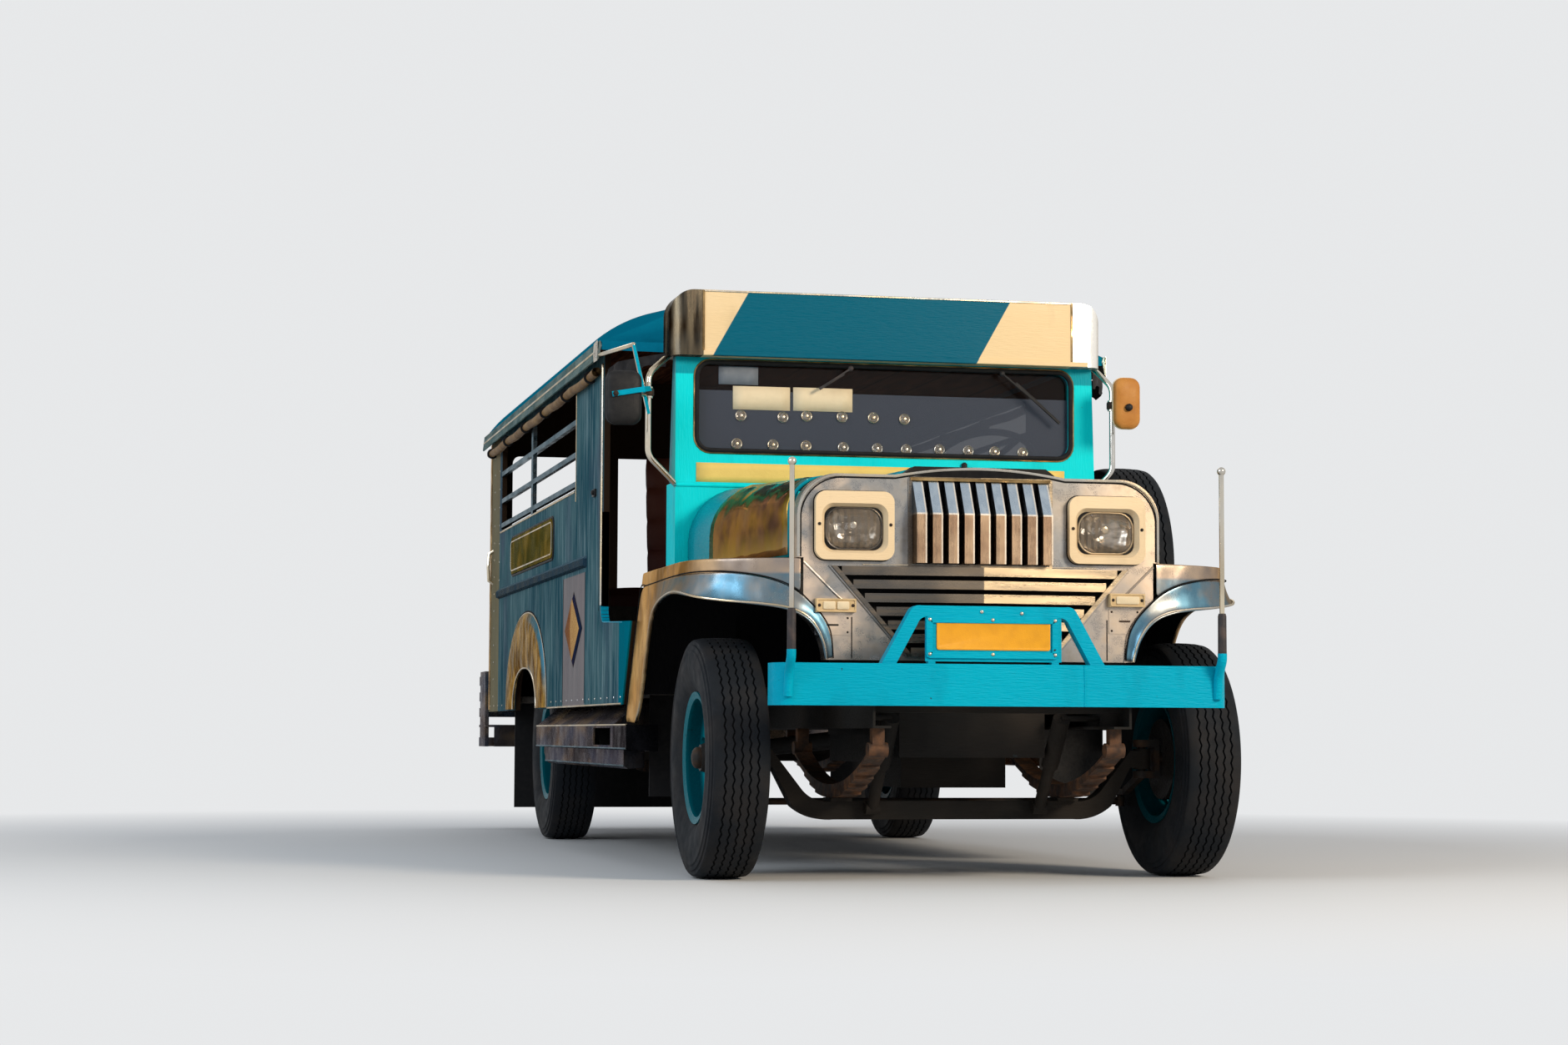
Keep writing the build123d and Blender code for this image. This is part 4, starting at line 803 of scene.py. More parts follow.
def finish_piece(bm, name, materials, body="root", replaces=()):
    bmesh.ops.recalc_face_normals(bm, faces=bm.faces)
    mesh = bpy.data.meshes.new(name)
    bm.to_mesh(mesh)
    bm.free()
    for material in materials if isinstance(materials, tuple) else (materials,):
        mesh.materials.append(material)
    mesh.shade_smooth()
    mesh.set_sharp_from_angle(angle=SHARP_ANGLE)
    made = bpy.data.objects.new(name, mesh)
    bpy.context.scene.collection.objects.link(made)
    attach(made, body)
    if replaces:
        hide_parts(*replaces)
    print(name, len(mesh.polygons), "faces")
    return made


def add_block(bm, low, high):
    """A box between two corners, whatever their order."""
    low, high = Vector(map(min, low, high)), Vector(map(max, low, high))
    place = Matrix.Translation((low + high) / 2) @ Matrix.Diagonal((*(high - low), 1))
    return bmesh.ops.create_cube(bm, size=1, matrix=place)["verts"]


def chain(bm, points, closed=False):
    made = [bm.verts.new(point) for point in points]
    ends = made[1:] + made[:1] if closed else made[1:]
    return [bm.edges.new(pair) for pair in zip(made, ends)]


def add_skin(bm, rows, closed=False, ring=False):
    """Bridges each chain of points to the next. Closed chains make a tube, and ring joins its ends."""
    chains = [chain(bm, row, closed) for row in rows]
    for first, second in zip(chains, chains[1:] + (chains[:1] if ring else [])):
        bmesh.ops.bridge_loops(bm, edges=first + second)
    return chains


def close_ends(bm, chains):
    """A face over each of these closed chains."""
    for end in chains:
        bmesh.ops.contextual_create(bm, geom=end)


def add_solid(bm, rows):
    """Closed chains bridged one to the next, with a face over the first and the last."""
    chains = add_skin(bm, rows, closed=True)
    close_ends(bm, (chains[0], chains[-1]))


def add_run(bm, path, section, facing, closed=False):
    """A section of (towards facing, to the side) pairs along a path, with mitred corners."""
    path, facing = [Vector(point) for point in path], Vector(facing).normalized()
    rows = []
    for index, here in enumerate(path):
        before = path[index - 1] if index or closed else None
        after = path[(index + 1) % len(path)] if closed or index + 1 < len(path) else None
        ahead = (after - here if after is not None else here - before).normalized()
        behind = (here - before if before is not None else after - here).normalized()
        side = (ahead + behind).cross(facing).normalized()
        side /= max(0.4, side.dot(ahead.cross(facing).normalized()))
        rows.append([here + facing * out + side * across for out, across in section])
    chains = add_skin(bm, rows, closed=True, ring=closed)
    if not closed:
        close_ends(bm, (chains[0], chains[-1]))


def round_section(radius, sides=8):
    return [(radius * cos(2 * pi * k / sides), radius * sin(2 * pi * k / sides)) for k in range(sides)]


def flat_section(width, thickness):
    """A flat bar lying on its path, with its outer edges eased."""
    half, ease = width / 2, min(width, thickness) / 4
    return [(0, -half), (thickness - ease, -half), (thickness, ease - half), (thickness, half - ease),
            (thickness - ease, half), (0, half)]


def rounded_path(low, high, radius, steps=5):
    """A rectangle with round corners as (u, v) pairs, low and high being its opposite corners."""
    (u0, v0), (u1, v1) = low, high
    pairs = []
    for u, v, start in ((u1 - radius, v0 + radius, -90), (u1 - radius, v1 - radius, 0),
                        (u0 + radius, v1 - radius, 90), (u0 + radius, v0 + radius, 180)):
        for turn in map(radians, spaced(start, start + 90, steps)):
            pairs.append((u + radius * cos(turn), v + radius * sin(turn)))
    return pairs


def on_front(pairs, station):
    return [at(x, station, z) for x, z in pairs]


def on_side(pairs, x):
    return [at(x, station, z) for station, z in pairs]


def add_turned(bm, place, direction, profile, sides=14):
    """(radius, height) pairs spun about direction, from a point."""
    old = set(bm.verts)
    points = [bm.verts.new((radius, 0, height)) for radius, height in profile]
    edges = [bm.edges.new(pair) for pair in zip(points, points[1:])]
    bmesh.ops.spin(bm, geom=points + edges, cent=(0, 0, 0), axis=(0, 0, 1), angle=2 * pi, steps=sides,
                   use_merge=True)
    turn = Vector(direction).to_track_quat("Z", "Y").to_matrix().to_4x4()
    new = [v for v in bm.verts if v not in old]
    bmesh.ops.transform(bm, matrix=Matrix.Translation(place) @ turn, verts=new)
    bmesh.ops.remove_doubles(bm, verts=new, dist=1e-6)


def turned_piece(name, places, direction, profile, material, sides=14):
    bm = bmesh.new()
    for place in places:
        add_turned(bm, place, direction, profile, sides)
    finish_piece(bm, name, material)


def dome(radius, height, rim=0.0):
    """The profile of a round head on a short rim."""
    arc = [(radius * cos(radians(a)), rim + height * sin(radians(a))) for a in (0, 22.5, 45, 67.5, 90)]
    return [(0, 0), (radius, 0)] + arc[0 if rim else 1:-1] + [(0, rim + height)]


def add_plate(bm, outline, push):
    """A flat plate: its outline as points, thickened along push."""
    face = bm.faces.new([bm.verts.new(point) for point in outline])
    raised = bmesh.ops.extrude_face_region(bm, geom=[face])["geom"]
    bmesh.ops.translate(bm, verts=[v for v in raised if isinstance(v, bmesh.types.BMVert)], vec=push)


def soften(bm, width, segments=2):
    bmesh.ops.bevel(bm, geom=bm.edges, offset=width, segments=segments, profile=0.5, affect="EDGES",
                    material=-1, clamp_overlap=True)


def smooth_line(points, steps=4):
    """Points on a smooth curve through the given ones."""
    points = [Vector(point) for point in points]
    line = []
    for index in range(len(points) - 1):
        p0, p1 = points[max(index - 1, 0)], points[index]
        p2, p3 = points[index + 1], points[min(index + 2, len(points) - 1)]
        for k in range(steps):
            t = k / steps
            line.append(0.5 * (2 * p1 + (p2 - p0) * t + (2 * p0 - 5 * p1 + 4 * p2 - p3) * t ** 2
                               + (3 * p1 - p0 - 3 * p2 + p3) * t ** 3))
    return line + [points[-1]]


# %% [markdown]
# ## Tyres
#
# A bias-ply tyre has a rounded crown with zigzag grooves all the way round. The section is drawn once as
# a closed loop of vertices and spun about the axle, with each groove as four columns of the section.
# Then every point near the crown is pushed sideways by a triangle wave of its angle, which turns the
# straight grooves into zigzags while keeping their width.

# %% Tyre with zigzag grooves
TYRE_RADIUS = 0.400
TREAD_HALF = 0.078
GROOVES = (-0.054, -0.027, 0.0, 0.027, 0.054)
GROOVE_WIDTH = 0.0065
GROOVE_DEPTH = 0.010
ZIGZAGS = 64
ZIGZAG_REACH = 0.0032
TYRE_STEPS = ZIGZAGS * 4
TREAD_FROM = 0.38


def crown(u):
    return TYRE_RADIUS - 0.0045 * (u / TREAD_HALF) ** 2


def tyre_section():
    """(u, radius) pairs round the section, from the outer bead over the tread to the inner bead."""
    side = [(0.070, 0.207), (0.078, 0.222), (0.088, 0.240), (0.0975, 0.268), (0.1020, 0.300), (0.1020, 0.326),
            (0.1000, 0.345), (0.1015, 0.348), (0.1010, 0.356), (0.0975, 0.360), (0.0960, 0.374),
            (0.0915, 0.376), (0.0905, 0.388), (0.0840, 0.3935)]
    tread = []
    for u in reversed(GROOVES):
        edge = GROOVE_WIDTH / 2
        tread += [(u + edge, crown(u)), (u + edge * 0.7, crown(u) - GROOVE_DEPTH),
                  (u - edge * 0.7, crown(u) - GROOVE_DEPTH), (u - edge, crown(u))]
    inside = [(0.056, 0.207), (0.066, 0.250), (0.076, 0.310), (0.066, 0.368)]
    inside = [(-u, r) for u, r in inside] + inside[::-1]
    return side + tread + [(-u, r) for u, r in reversed(side)] + inside


def zigzag(angle):
    return ZIGZAG_REACH * 2 / pi * asin(sin(ZIGZAGS * angle))


def make_tyre(node, body):
    bm = bmesh.new()
    section = [bm.verts.new((u, 0, r)) for u, r in tyre_section()]
    edges = [bm.edges.new((a, b)) for a, b in zip(section, section[1:] + section[:1])]
    bmesh.ops.spin(bm, geom=section + edges, cent=(0, 0, 0), axis=(1, 0, 0), angle=2 * pi, steps=TYRE_STEPS,
                   use_merge=True)
    bmesh.ops.remove_doubles(bm, verts=bm.verts, dist=1e-6)
    for vertex in bm.verts:
        radius = Vector((vertex.co.y, vertex.co.z)).length
        if radius > TREAD_FROM and abs(vertex.co.x) < TREAD_HALF:
            vertex.co.x += zigzag(atan2(vertex.co.y, vertex.co.z))
    bmesh.ops.translate(bm, verts=bm.verts, vec=middle_of(node))
    finish_piece(bm, f"{node}_treaded", tyre_rubber, body, [node])


for corner in WHEEL_CORNERS:
    make_tyre(f"tyre_{corner}", f"wheel_{corner}")
make_tyre("spare_tyre", "root")

# %% [markdown]
# ## Wheel nuts
#
# Five nuts hold each wheel on its hub, with the stud's end standing out of each, and a domed grease cap
# closes the hub. They ride on the wheel's own body.

# %% Nuts and grease caps
NUTS, NUT_CIRCLE, NUT_FACE, CAP_FACE = 5, 0.086, 0.010, 0.063
NUT = [(0, 0), (0.012, 0), (0.012, 0.013), (0.010, 0.015), (0.006, 0.015), (0.006, 0.024), (0.005, 0.025),
       (0, 0.025)]


def wheel_nuts(corner):
    side = 1 if corner.endswith("left") else -1
    centre = middle_of(f"rim_{corner}")
    centre.x = middle_of(f"tyre_{corner}").x
    bm = bmesh.new()
    for k in range(NUTS):
        turn = 2 * pi * (k + 0.5) / NUTS
        place = centre + Vector((side * NUT_FACE, NUT_CIRCLE * sin(turn), NUT_CIRCLE * cos(turn)))
        add_turned(bm, place, (side, 0, 0), NUT, sides=6)
    add_turned(bm, centre + Vector((side * CAP_FACE, 0, 0)), (side, 0, 0), dome(0.036, 0.018, 0.012), 20)
    finish_piece(bm, f"wheel_nuts_{corner}", iron, f"wheel_{corner}")


for corner in WHEEL_CORNERS:
    wheel_nuts(corner)

# %% [markdown]
# ## Front fenders
#
# The fenders were beaten by hand, so each is a skin of two parts. The top band turns down at the edge to
# a crease, and below the crease the flare leans outwards to a curled lip. Stations along the fender give
# the top edge, the crease and the lip as measured in the picture, and the skin is bridged through them
# and then smoothed by a Subdivision Surface. Its inner side is coated with black underseal.

# %% Fender skins
# x, station, z of the crease and of the lip, from the apron round the corner and down the tail
FLARE = [
    ((0.499, -0.3685, 0.727), (0.523, -0.376, 0.723)), ((0.508, -0.3695, 0.810), (0.533, -0.380, 0.772)),
    ((0.534, -0.371, 0.862), (0.556, -0.383, 0.824)), ((0.576, -0.371, 0.908), (0.592, -0.383, 0.864)),
    ((0.634, -0.366, 0.958), (0.652, -0.375, 0.890)), ((0.717, -0.340, 0.990), (0.738, -0.352, 0.903)),
    ((0.825, -0.290, 1.007), (0.842, -0.307, 0.912)), ((0.905, -0.215, 1.010), (0.926, -0.232, 0.926)),
    ((0.944, -0.110, 1.009), (0.966, -0.122, 0.946)), ((0.951, 0.020, 1.008), (0.969, 0.005, 0.952)),
    ((0.951, 0.150, 1.008), (0.969, 0.135, 0.946)), ((0.951, 0.280, 1.007), (0.969, 0.265, 0.930)),
    ((0.951, 0.400, 1.005), (0.969, 0.362, 0.904)), ((0.951, 0.500, 1.004), (0.968, 0.422, 0.864)),
    ((0.951, 0.610, 1.003), (0.967, 0.480, 0.792)), ((0.951, 0.718, 1.001), (0.967, 0.540, 0.708)),
    ((0.953, 0.782, 0.895), (0.966, 0.592, 0.640)), ((0.955, 0.851, 0.777), (0.965, 0.640, 0.585)),
    ((0.957, 0.925, 0.650), (0.965, 0.690, 0.545)), ((0.958, 1.004, 0.516), (0.964, 0.745, 0.516)),
]
# The same for the band above: station of its straight inner edge, then its top edge and crease
BAND = [
    (-0.350, (0.606, -0.3665), (0.606, -0.3665, 0.934)), (-0.320, (0.660, -0.356), (0.655, -0.358, 0.969)),
    (-0.270, (0.745, -0.328), (0.740, -0.330, 0.995)), (-0.210, (0.830, -0.286), (0.830, -0.286, 1.008)),
    (-0.140, (0.905, -0.214), (0.905, -0.214, 1.010)), (-0.070, (0.943, -0.110), (0.944, -0.110, 1.009)),
] + [(station, (0.950, station), (0.951, station, z)) for station, z in (
    (0.020, 1.008), (0.150, 1.008), (0.280, 1.007), (0.400, 1.005), (0.500, 1.004), (0.610, 1.003))] + [
    (0.692, (0.950, 0.692), (0.951, 0.718, 1.001))]
FENDER_TOP = 1.052
BAND_INNER_X = 0.604


def outward(index):
    """The level direction away from the vehicle at a station of the flare."""
    before, after = FLARE[max(index - 1, 0)][1], FLARE[min(index + 1, len(FLARE) - 1)][1]
    way = Vector((after[1] - before[1], before[0] - after[0], 0))
    return way.normalized() if way.length > 0.001 else Vector((1, 0, 0))


def flare_rows():
    rows = []
    for index, (crease, lip) in enumerate(FLARE):
        crease, lip, out = at(*crease), at(*lip), outward(index)
        fall = (lip - crease).normalized()
        middle = crease.lerp(lip, 0.5) - out * 0.004
        near = crease.lerp(lip, 0.12) - out * 0.001
        roll = [lip + fall * a + out * b
                for a, b in ((-0.006, 0), (-0.001, 0.004), (0.005, 0.004), (0.007, -0.003))]
        rows.append([crease, near, middle, *roll, lip + fall * 0.002 - out * 0.010])
    return rows


def band_rows():
    rows = []
    for inner, edge, crease in BAND:
        inner = at(BAND_INNER_X, inner, FENDER_TOP + 0.003)
        edge, crease = at(*edge, FENDER_TOP), at(*crease)
        over = (inner - edge).normalized()
        beaten = 0.0015 * ripple.noise(edge * 9)
        rows.append([inner, inner.lerp(edge, 0.5) + Vector((0, 0, beaten)), edge + over * 0.014,
                     edge + over * 0.003, edge - Vector((0, 0, 0.005)), edge.lerp(crease, 0.35),
                     edge.lerp(crease, 0.75), crease])
    return rows


def fender_skin(side, name, rows):
    bm = bmesh.new()
    add_skin(bm, [[Vector((side * p.x, p.y, p.z)) for p in row] for row in rows])
    return finish_piece(bm, f"fender_{name}", (fender_steel, underseal))


def thicken(made, thickness):
    """The skin's edges stay where they are, and its second material lines the inner side."""
    shell = made.modifiers.new("thickness", "SOLIDIFY")
    shell.thickness = thickness
    shell.offset = -1
    shell.material_offset = 1
    shell.material_offset_rim = 0


def smoothen(made, levels=2):
    rounding = made.modifiers.new("rounding", "SUBSURF")
    rounding.levels = rounding.render_levels = levels


def upright_normals(made, out):
    """Turns an open skin over where its faces look inwards on the whole. out gives the way out."""
    faces = made.data.polygons
    if sum((f.normal.dot(out(f.center))) * f.area for f in faces) < 0:
        made.data.flip_normals()


def away_from_point(point):
    return lambda centre: (centre - point).normalized()


def fender_seams(side, label):
    """The dark line of the crease, and the polished bead of the lip."""
    for name, part, radius, material in (("crease", 0, 0.0022, underseal), ("lip", 1, 0.0040, rib_steel)):
        line = smooth_line([at(side * x, station, z) for x, station, z in (s[part] for s in FLARE)], 5)
        bm = bmesh.new()
        rows = []
        for here, after in zip(line, line[1:] + [2 * line[-1] - line[-2]]):
            turn = (after - here).to_track_quat("Z", "Y").to_matrix()
            rows.append([here + turn @ Vector((a * radius, b * radius, 0)) for a, b in round_section(1)])
        add_solid(bm, rows)
        finish_piece(bm, f"fender_{name}_{label}", material)


for label, side in SIDES:
    flare = fender_skin(side, f"flare_{label}", flare_rows())
    band = fender_skin(side, f"band_{label}", band_rows())
    for skin in (flare, band):
        upright_normals(skin, away_from_point(at(0, 0.3, 0.8)))
        thicken(skin, 0.003)
        smoothen(skin)
    if side > 0:
        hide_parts("front_fenders")
    fender_seams(side, label)

# %% [markdown]
# ## Hood
#
# The hood is one sheet with rolled shoulders and a raised middle, and a polished plate wraps each
# shoulder. Both are skins through the same sections, which widen and rise towards the cowl. A section
# is the side, an arc round the shoulder and the step up to the crown. The skins ride on the hood.

# %% Hood skin and shoulder plates
HOOD_FRONT, HOOD_REAR, HOOD_FOOT = -0.255, 0.850, 1.0625
PLATE_FRONT, PLATE_REAR, PLATE_STEPS = -0.225, 0.600, 16
SHOULDER_TURNS = (0, 12, 24, 36, 48, 60, 72, 82, 90)


def hood_section(station, out=0.0):
    """Half of the hood's section from its lower edge up, at x > 0."""
    t = (station - HOOD_FRONT) / (HOOD_REAR - HOOD_FRONT)
    half, top = 0.618 + 0.139 * t + out, 1.332 + 0.046 * t + out
    shoulder, middle = 0.118 + 0.087 * t + out, 1.358 + 0.034 * t
    corner = [(half - shoulder * (1 - cos(radians(a))), top - shoulder * (1 - sin(radians(a))))
              for a in SHOULDER_TURNS]
    return [(half, HOOD_FOOT), (half, 1.10), (half, 1.14)] + corner + [
        (0.272, top), (0.262, top + 0.003), (0.232, middle - 0.004), (0.222, middle), (0, middle + 0.003)]


def make_hood():
    bm = bmesh.new()
    rows = []
    for station in spaced(HOOD_FRONT, HOOD_REAR, 14):
        half = [at(x, station, z) for x, z in hood_section(station)]
        rows.append(half + [Vector((-p.x, p.y, p.z)) for p in reversed(half[:-1])])
    for point in rows[0]:
        point.y += 0.022 * max(0.0, 1 - (point.z - HOOD_FOOT) / 0.07)
    add_skin(bm, rows)
    made = finish_piece(bm, "hood_skin", (hood_paint, underseal), "hood", ["hood"])
    upright_normals(made, away_from_point(at(0, 0.3, 0.6)))
    thicken(made, 0.007)


def make_shoulder_plate(label, side):
    bm = bmesh.new()
    rows = []
    for index, station in enumerate(spaced(PLATE_FRONT, PLATE_REAR, PLATE_STEPS)):
        points = hood_section(station, 0.0008 if index in (0, PLATE_STEPS) else 0.0030)[:10]
        rear = max(0.0, (station - 0.36) / 0.24)
        row = []
        for k, (x, z) in enumerate(points):
            lift = 0.0012 * ripple.noise(Vector((side * x * 6, station * 7, z * 6)))
            back = -0.10 * rear * (k / 9) ** 3
            row.append(at(side * (x + lift), station + back, max(z, 1.0705) + lift))
        rows.append(row)
    add_skin(bm, rows)
    made = finish_piece(bm, f"hood_shoulder_{label}", (hood_plate_steel, underseal), "hood",
                        ["hood_plates"] if side > 0 else [])
    upright_normals(made, away_from_point(at(0, 0.3, 0.9)))
    thicken(made, 0.0028)


make_hood()
for label, side in SIDES:
    make_shoulder_plate(label, side)

# %% [markdown]
# ## Sign box and windscreen trim
#
# The sign box has a strip along its lower edge and golden joint strips beside its caps. The glass sits
# in a black gasket with a thin golden bead. Behind it are two rows of round reflectors, two cards and a
# sheet of paper, all blank. Below the glass a yellow strip is stuck to the frame, also blank, over a
# pressed groove.

# %% Beads, wipers, cards and studs
FRONTWARD = Vector((0, -1, 0))
SIGN_FACE, FRAME_FACE = 0.843, 0.900
GLASS_LOW, GLASS_HIGH, GLASS_ROUND = (-0.714, 1.523), (0.714, 1.842), 0.052


def front_run(name, pairs, station, section, material, closed=True):
    bm = bmesh.new()
    add_run(bm, on_front(pairs, station), section, FRONTWARD, closed)
    finish_piece(bm, name, material)


def grown(low, high, by):
    return (low[0] - by, low[1] - by), (high[0] + by, high[1] + by)


front_run("sign_lower_strip", [(-0.704, 1.872), (0.766, 1.872)], SIGN_FACE, flat_section(0.017, 0.005),
          sign_panel, closed=False)
front_run("sign_upper_strip", [(-0.704, 2.101), (0.704, 2.101)], SIGN_FACE, flat_section(0.006, 0.003),
          rib_steel, closed=False)
for label, side in SIDES:
    front_run(f"sign_joint_strip_{label}", [(side * 0.705, 1.881), (side * 0.705, 2.103)], SIGN_FACE,
              flat_section(0.008, 0.003), golden, closed=False)
front_run("glass_gasket", rounded_path(*grown(GLASS_LOW, GLASS_HIGH, 0.004), GLASS_ROUND), FRAME_FACE,
          round_section(0.009), black_rubber)
front_run("glass_bead", rounded_path(*grown(GLASS_LOW, GLASS_HIGH, 0.013), GLASS_ROUND + 0.009), FRAME_FACE,
          round_section(0.0045), golden)


def wiper(name, pivot, tip, blade_from, material):
    """A spring arm from its pivot under the sign box, with the blade beside it."""
    bm = bmesh.new()
    start, end = at(pivot[0], 0.872, pivot[1]), at(tip[0], 0.884, tip[1])
    add_run(bm, [start, start.lerp(end, 0.5) + FRONTWARD * 0.006, end], flat_section(0.007, 0.004), FRONTWARD)
    blade = at(blade_from[0], 0.890, blade_from[1])
    add_run(bm, [blade, end.lerp(blade, -0.12)], flat_section(0.011, 0.006), FRONTWARD)
    add_turned(bm, start + FRONTWARD * -0.004, FRONTWARD, dome(0.010, 0.005, 0.006))
    finish_piece(bm, name, material)


wiper("wiper_left", (0.442, 1.832), (0.650, 1.668), (0.500, 1.800), black_plastic)
wiper("wiper_right", (-0.143, 1.834), (-0.250, 1.762), (-0.165, 1.815), sleeve_grey)


CUP_FACE = 0.9205


def card(name, low, high, material, curl=0.003):
    """A thin card behind the glass, bowed a little between its edges."""
    bm = bmesh.new()
    wide, tall = high[0] - low[0], high[1] - low[1]
    rows = [[at(low[0] + wide * u, CUP_FACE - curl * sin(pi * u) * v, low[1] + tall * v)
             for u in spaced(0, 1, 5)] for v in spaced(0, 1, 2)]
    add_skin(bm, rows)
    thicken(finish_piece(bm, name, material), 0.0008)


card("card_outer", (-0.579, 1.675), (-0.363, 1.762), card_cream)
card("card_inner", (-0.351, 1.676), (-0.125, 1.763), card_cream)
card("paper_sheet", (-0.633, 1.767), (-0.484, 1.835), paper_grey)

# Round reflectors on suction cups stuck to the glass, each with a small bright button: x and z of the
# upper row's cups, then of the lower row's, and the profiles
STUDS = [(-0.549, 1.652), (-0.390, 1.650), (-0.300, 1.657), (-0.165, 1.657), (-0.045, 1.657), (0.075, 1.655),
         (-0.564, 1.547), (-0.427, 1.546), (-0.302, 1.545), (-0.160, 1.543), (-0.030, 1.542), (0.082, 1.541),
         (0.210, 1.544), (0.322, 1.542), (0.425, 1.541), (0.535, 1.540)]
CUP = [(0.0, 0.0), (0.0215, 0.0), (0.0215, 0.002), (0.017, 0.005), (0.0, 0.0055)]
BUTTON = [(0.0, 0.0055), (0.0055, 0.0055), (0.0050, 0.0095), (0.0, 0.0105)]
turned_piece("glass_cups", on_front(STUDS, CUP_FACE), FRONTWARD, CUP, lens, sides=16)
turned_piece("glass_cup_buttons", on_front(STUDS, CUP_FACE), FRONTWARD, BUTTON, rib_steel, sides=16)
bm = bmesh.new()
for x, z in STUDS:
    circle = on_front([(x + u, z + v) for u, v in round_section(0.0185, 20)], 0.9165)
    add_run(bm, circle, round_section(0.0014, 5), FRONTWARD, True)
finish_piece(bm, "glass_cup_rings", rib_steel)


def route_strip():
    bm = bmesh.new()
    rows = []
    for x in spaced(-0.719, 0.692, 24):
        wave = 0.0008 * ripple.noise(Vector((x * 8, 0, 3)))
        rows.append([at(x, FRAME_FACE - 0.0022 - wave, z) for z in (1.4015, 1.425, 1.450, 1.473)])
    add_skin(bm, rows)
    thicken(finish_piece(bm, "route_strip", strip_yellow), 0.0015)


route_strip()
front_run("frame_groove", [(-0.803, 1.3965), (0.803, 1.3965)], FRAME_FACE, flat_section(0.006, 0.002),
          underseal, closed=False)
front_run("frame_ledge", [(-0.806, 1.388), (0.806, 1.388)], 0.880, round_section(0.007),
          turquoise_upright, closed=False)
turned_piece("washer_jet", [at(0.300, 0.893, 1.478)], (0, 0, 1),
             [(0, 0), (0.011, 0), (0.011, 0.012), (0.005, 0.018), (0, 0.018)], black_plastic)

# %% [markdown]
# ## Trim of the grille shell
#
# The nose is one hand-beaten sheet with a rolled rim. A polished bead runs along the rim, and a dark
# line follows it inside. The outline is measured once as straight runs and arcs through three points,
# and each line of trim is that outline drawn in by its own amount. On the real nose a slot is open
# between the crown and the slats. A dark plate stands for it, with a golden strip under it.

# %% Rim beads, frames and backing
NOSE_FACE = -0.360


def arc(start, middle, end, steps=8):
    """Points after start on the circle through three (u, v) pairs."""
    (ax, ay), (bx, by), (cx, cy) = start, middle, end
    d = 2 * (ax * (by - cy) + bx * (cy - ay) + cx * (ay - by))
    a, b, c = ax * ax + ay * ay, bx * bx + by * by, cx * cx + cy * cy
    ux = (a * (by - cy) + b * (cy - ay) + c * (ay - by)) / d
    uy = (a * (cx - bx) + b * (ax - cx) + c * (bx - ax)) / d
    radius = ((ax - ux) ** 2 + (ay - uy) ** 2) ** 0.5
    turns = [atan2(v - uy, u - ux) for u, v in (start, middle, end)]
    for k in (1, 2):
        while turns[k] - turns[k - 1] > pi:
            turns[k] -= 2 * pi
        while turns[k] - turns[k - 1] < -pi:
            turns[k] += 2 * pi
    return [(ux + radius * cos(turn), uy + radius * sin(turn))
            for turn in spaced(turns[0], turns[2], steps)[1:]]


def shell_outline(inset):
    """The nose's rim above the fenders, from the left-hand foot over the crown to the right-hand one."""
    x, top = 0.620 - inset, 1.331 - inset
    half = [(x, 1.057), (x, 1.195)]
    half += arc(half[-1], (x - 0.042, 1.293 - inset), (x - 0.142, top), 10)
    half += [(0.290, top)]
    crown = arc((0.290, top), (0.0, 1.3600 - inset), (-0.290, top), 24)
    return half + crown + [(-u, v) for u, v in reversed(half[:-1])]


for name, inset, section, material in (
        ("nose_rim_bead", 0.0055, round_section(0.0055), rib_steel),
        ("nose_dark_line", 0.0125, flat_section(0.005, 0.0012), underseal)):
    front_run(name, shell_outline(inset), NOSE_FACE, section, material, closed=False)
front_run("slat_frame", rounded_path((-0.241, 1.030), (0.241, 1.320), 0.004, 2), NOSE_FACE,
          flat_section(0.012, 0.004), bar_steel)
front_run("nose_backing_run", [(-0.40, 1.034), (0.40, 1.034)], NOSE_FACE, flat_section(0.004, 0.003),
          rib_steel, closed=False)
opening = [(0.236, 1.3245)] + arc((0.236, 1.3245), (0.0, 1.3475), (-0.236, 1.3245), 16)
bm = bmesh.new()
add_plate(bm, on_front(opening, NOSE_FACE - 0.0005), FRONTWARD * 0.0008)
finish_piece(bm, "crown_opening", underseal)
front_run("crown_strip", [(-0.240, 1.3180), (0.240, 1.3180)], NOSE_FACE, flat_section(0.012, 0.005),
          golden, closed=False)
bm = bmesh.new()
add_plate(bm, on_front([(-0.262, 0.728), (0.262, 0.728), (0.500, 1.034), (0.300, 1.034), (0.300, 1.323),
                        (-0.300, 1.323), (-0.300, 1.034), (-0.500, 1.034)], -0.338), FRONTWARD * -0.002)
finish_piece(bm, "radiator_screen", underseal)

# %% [markdown]
# ## Headlamps
#
# Each sealed lamp is a domed fluted glass over a silvered bowl, held by a thin chrome ring at the foot of
# its cream bezel. The glass is a stack of shrinking outlines that rise to a low dome. A screw holds the
# bezel on each side, and a dark joint shows round it.

# %% Lamp glasses, bowls and bezel screws
LAMP_X, LAMP_MIDDLE_Z = 0.431, 1.1505
LENS_HALF_W, LENS_HALF_H, LENS_ROUND = 0.0925, 0.0665, 0.052
LENS_FOOT = -0.3625


def lens_outline(side, scale, station):
    w, h = LENS_HALF_W * scale, LENS_HALF_H * scale
    pairs = rounded_path((side * LAMP_X - w, LAMP_MIDDLE_Z - h), (side * LAMP_X + w, LAMP_MIDDLE_Z + h),
                         min(LENS_ROUND * (1.35 - 0.35 * scale), 0.98 * h), 6)
    return on_front(pairs, station)


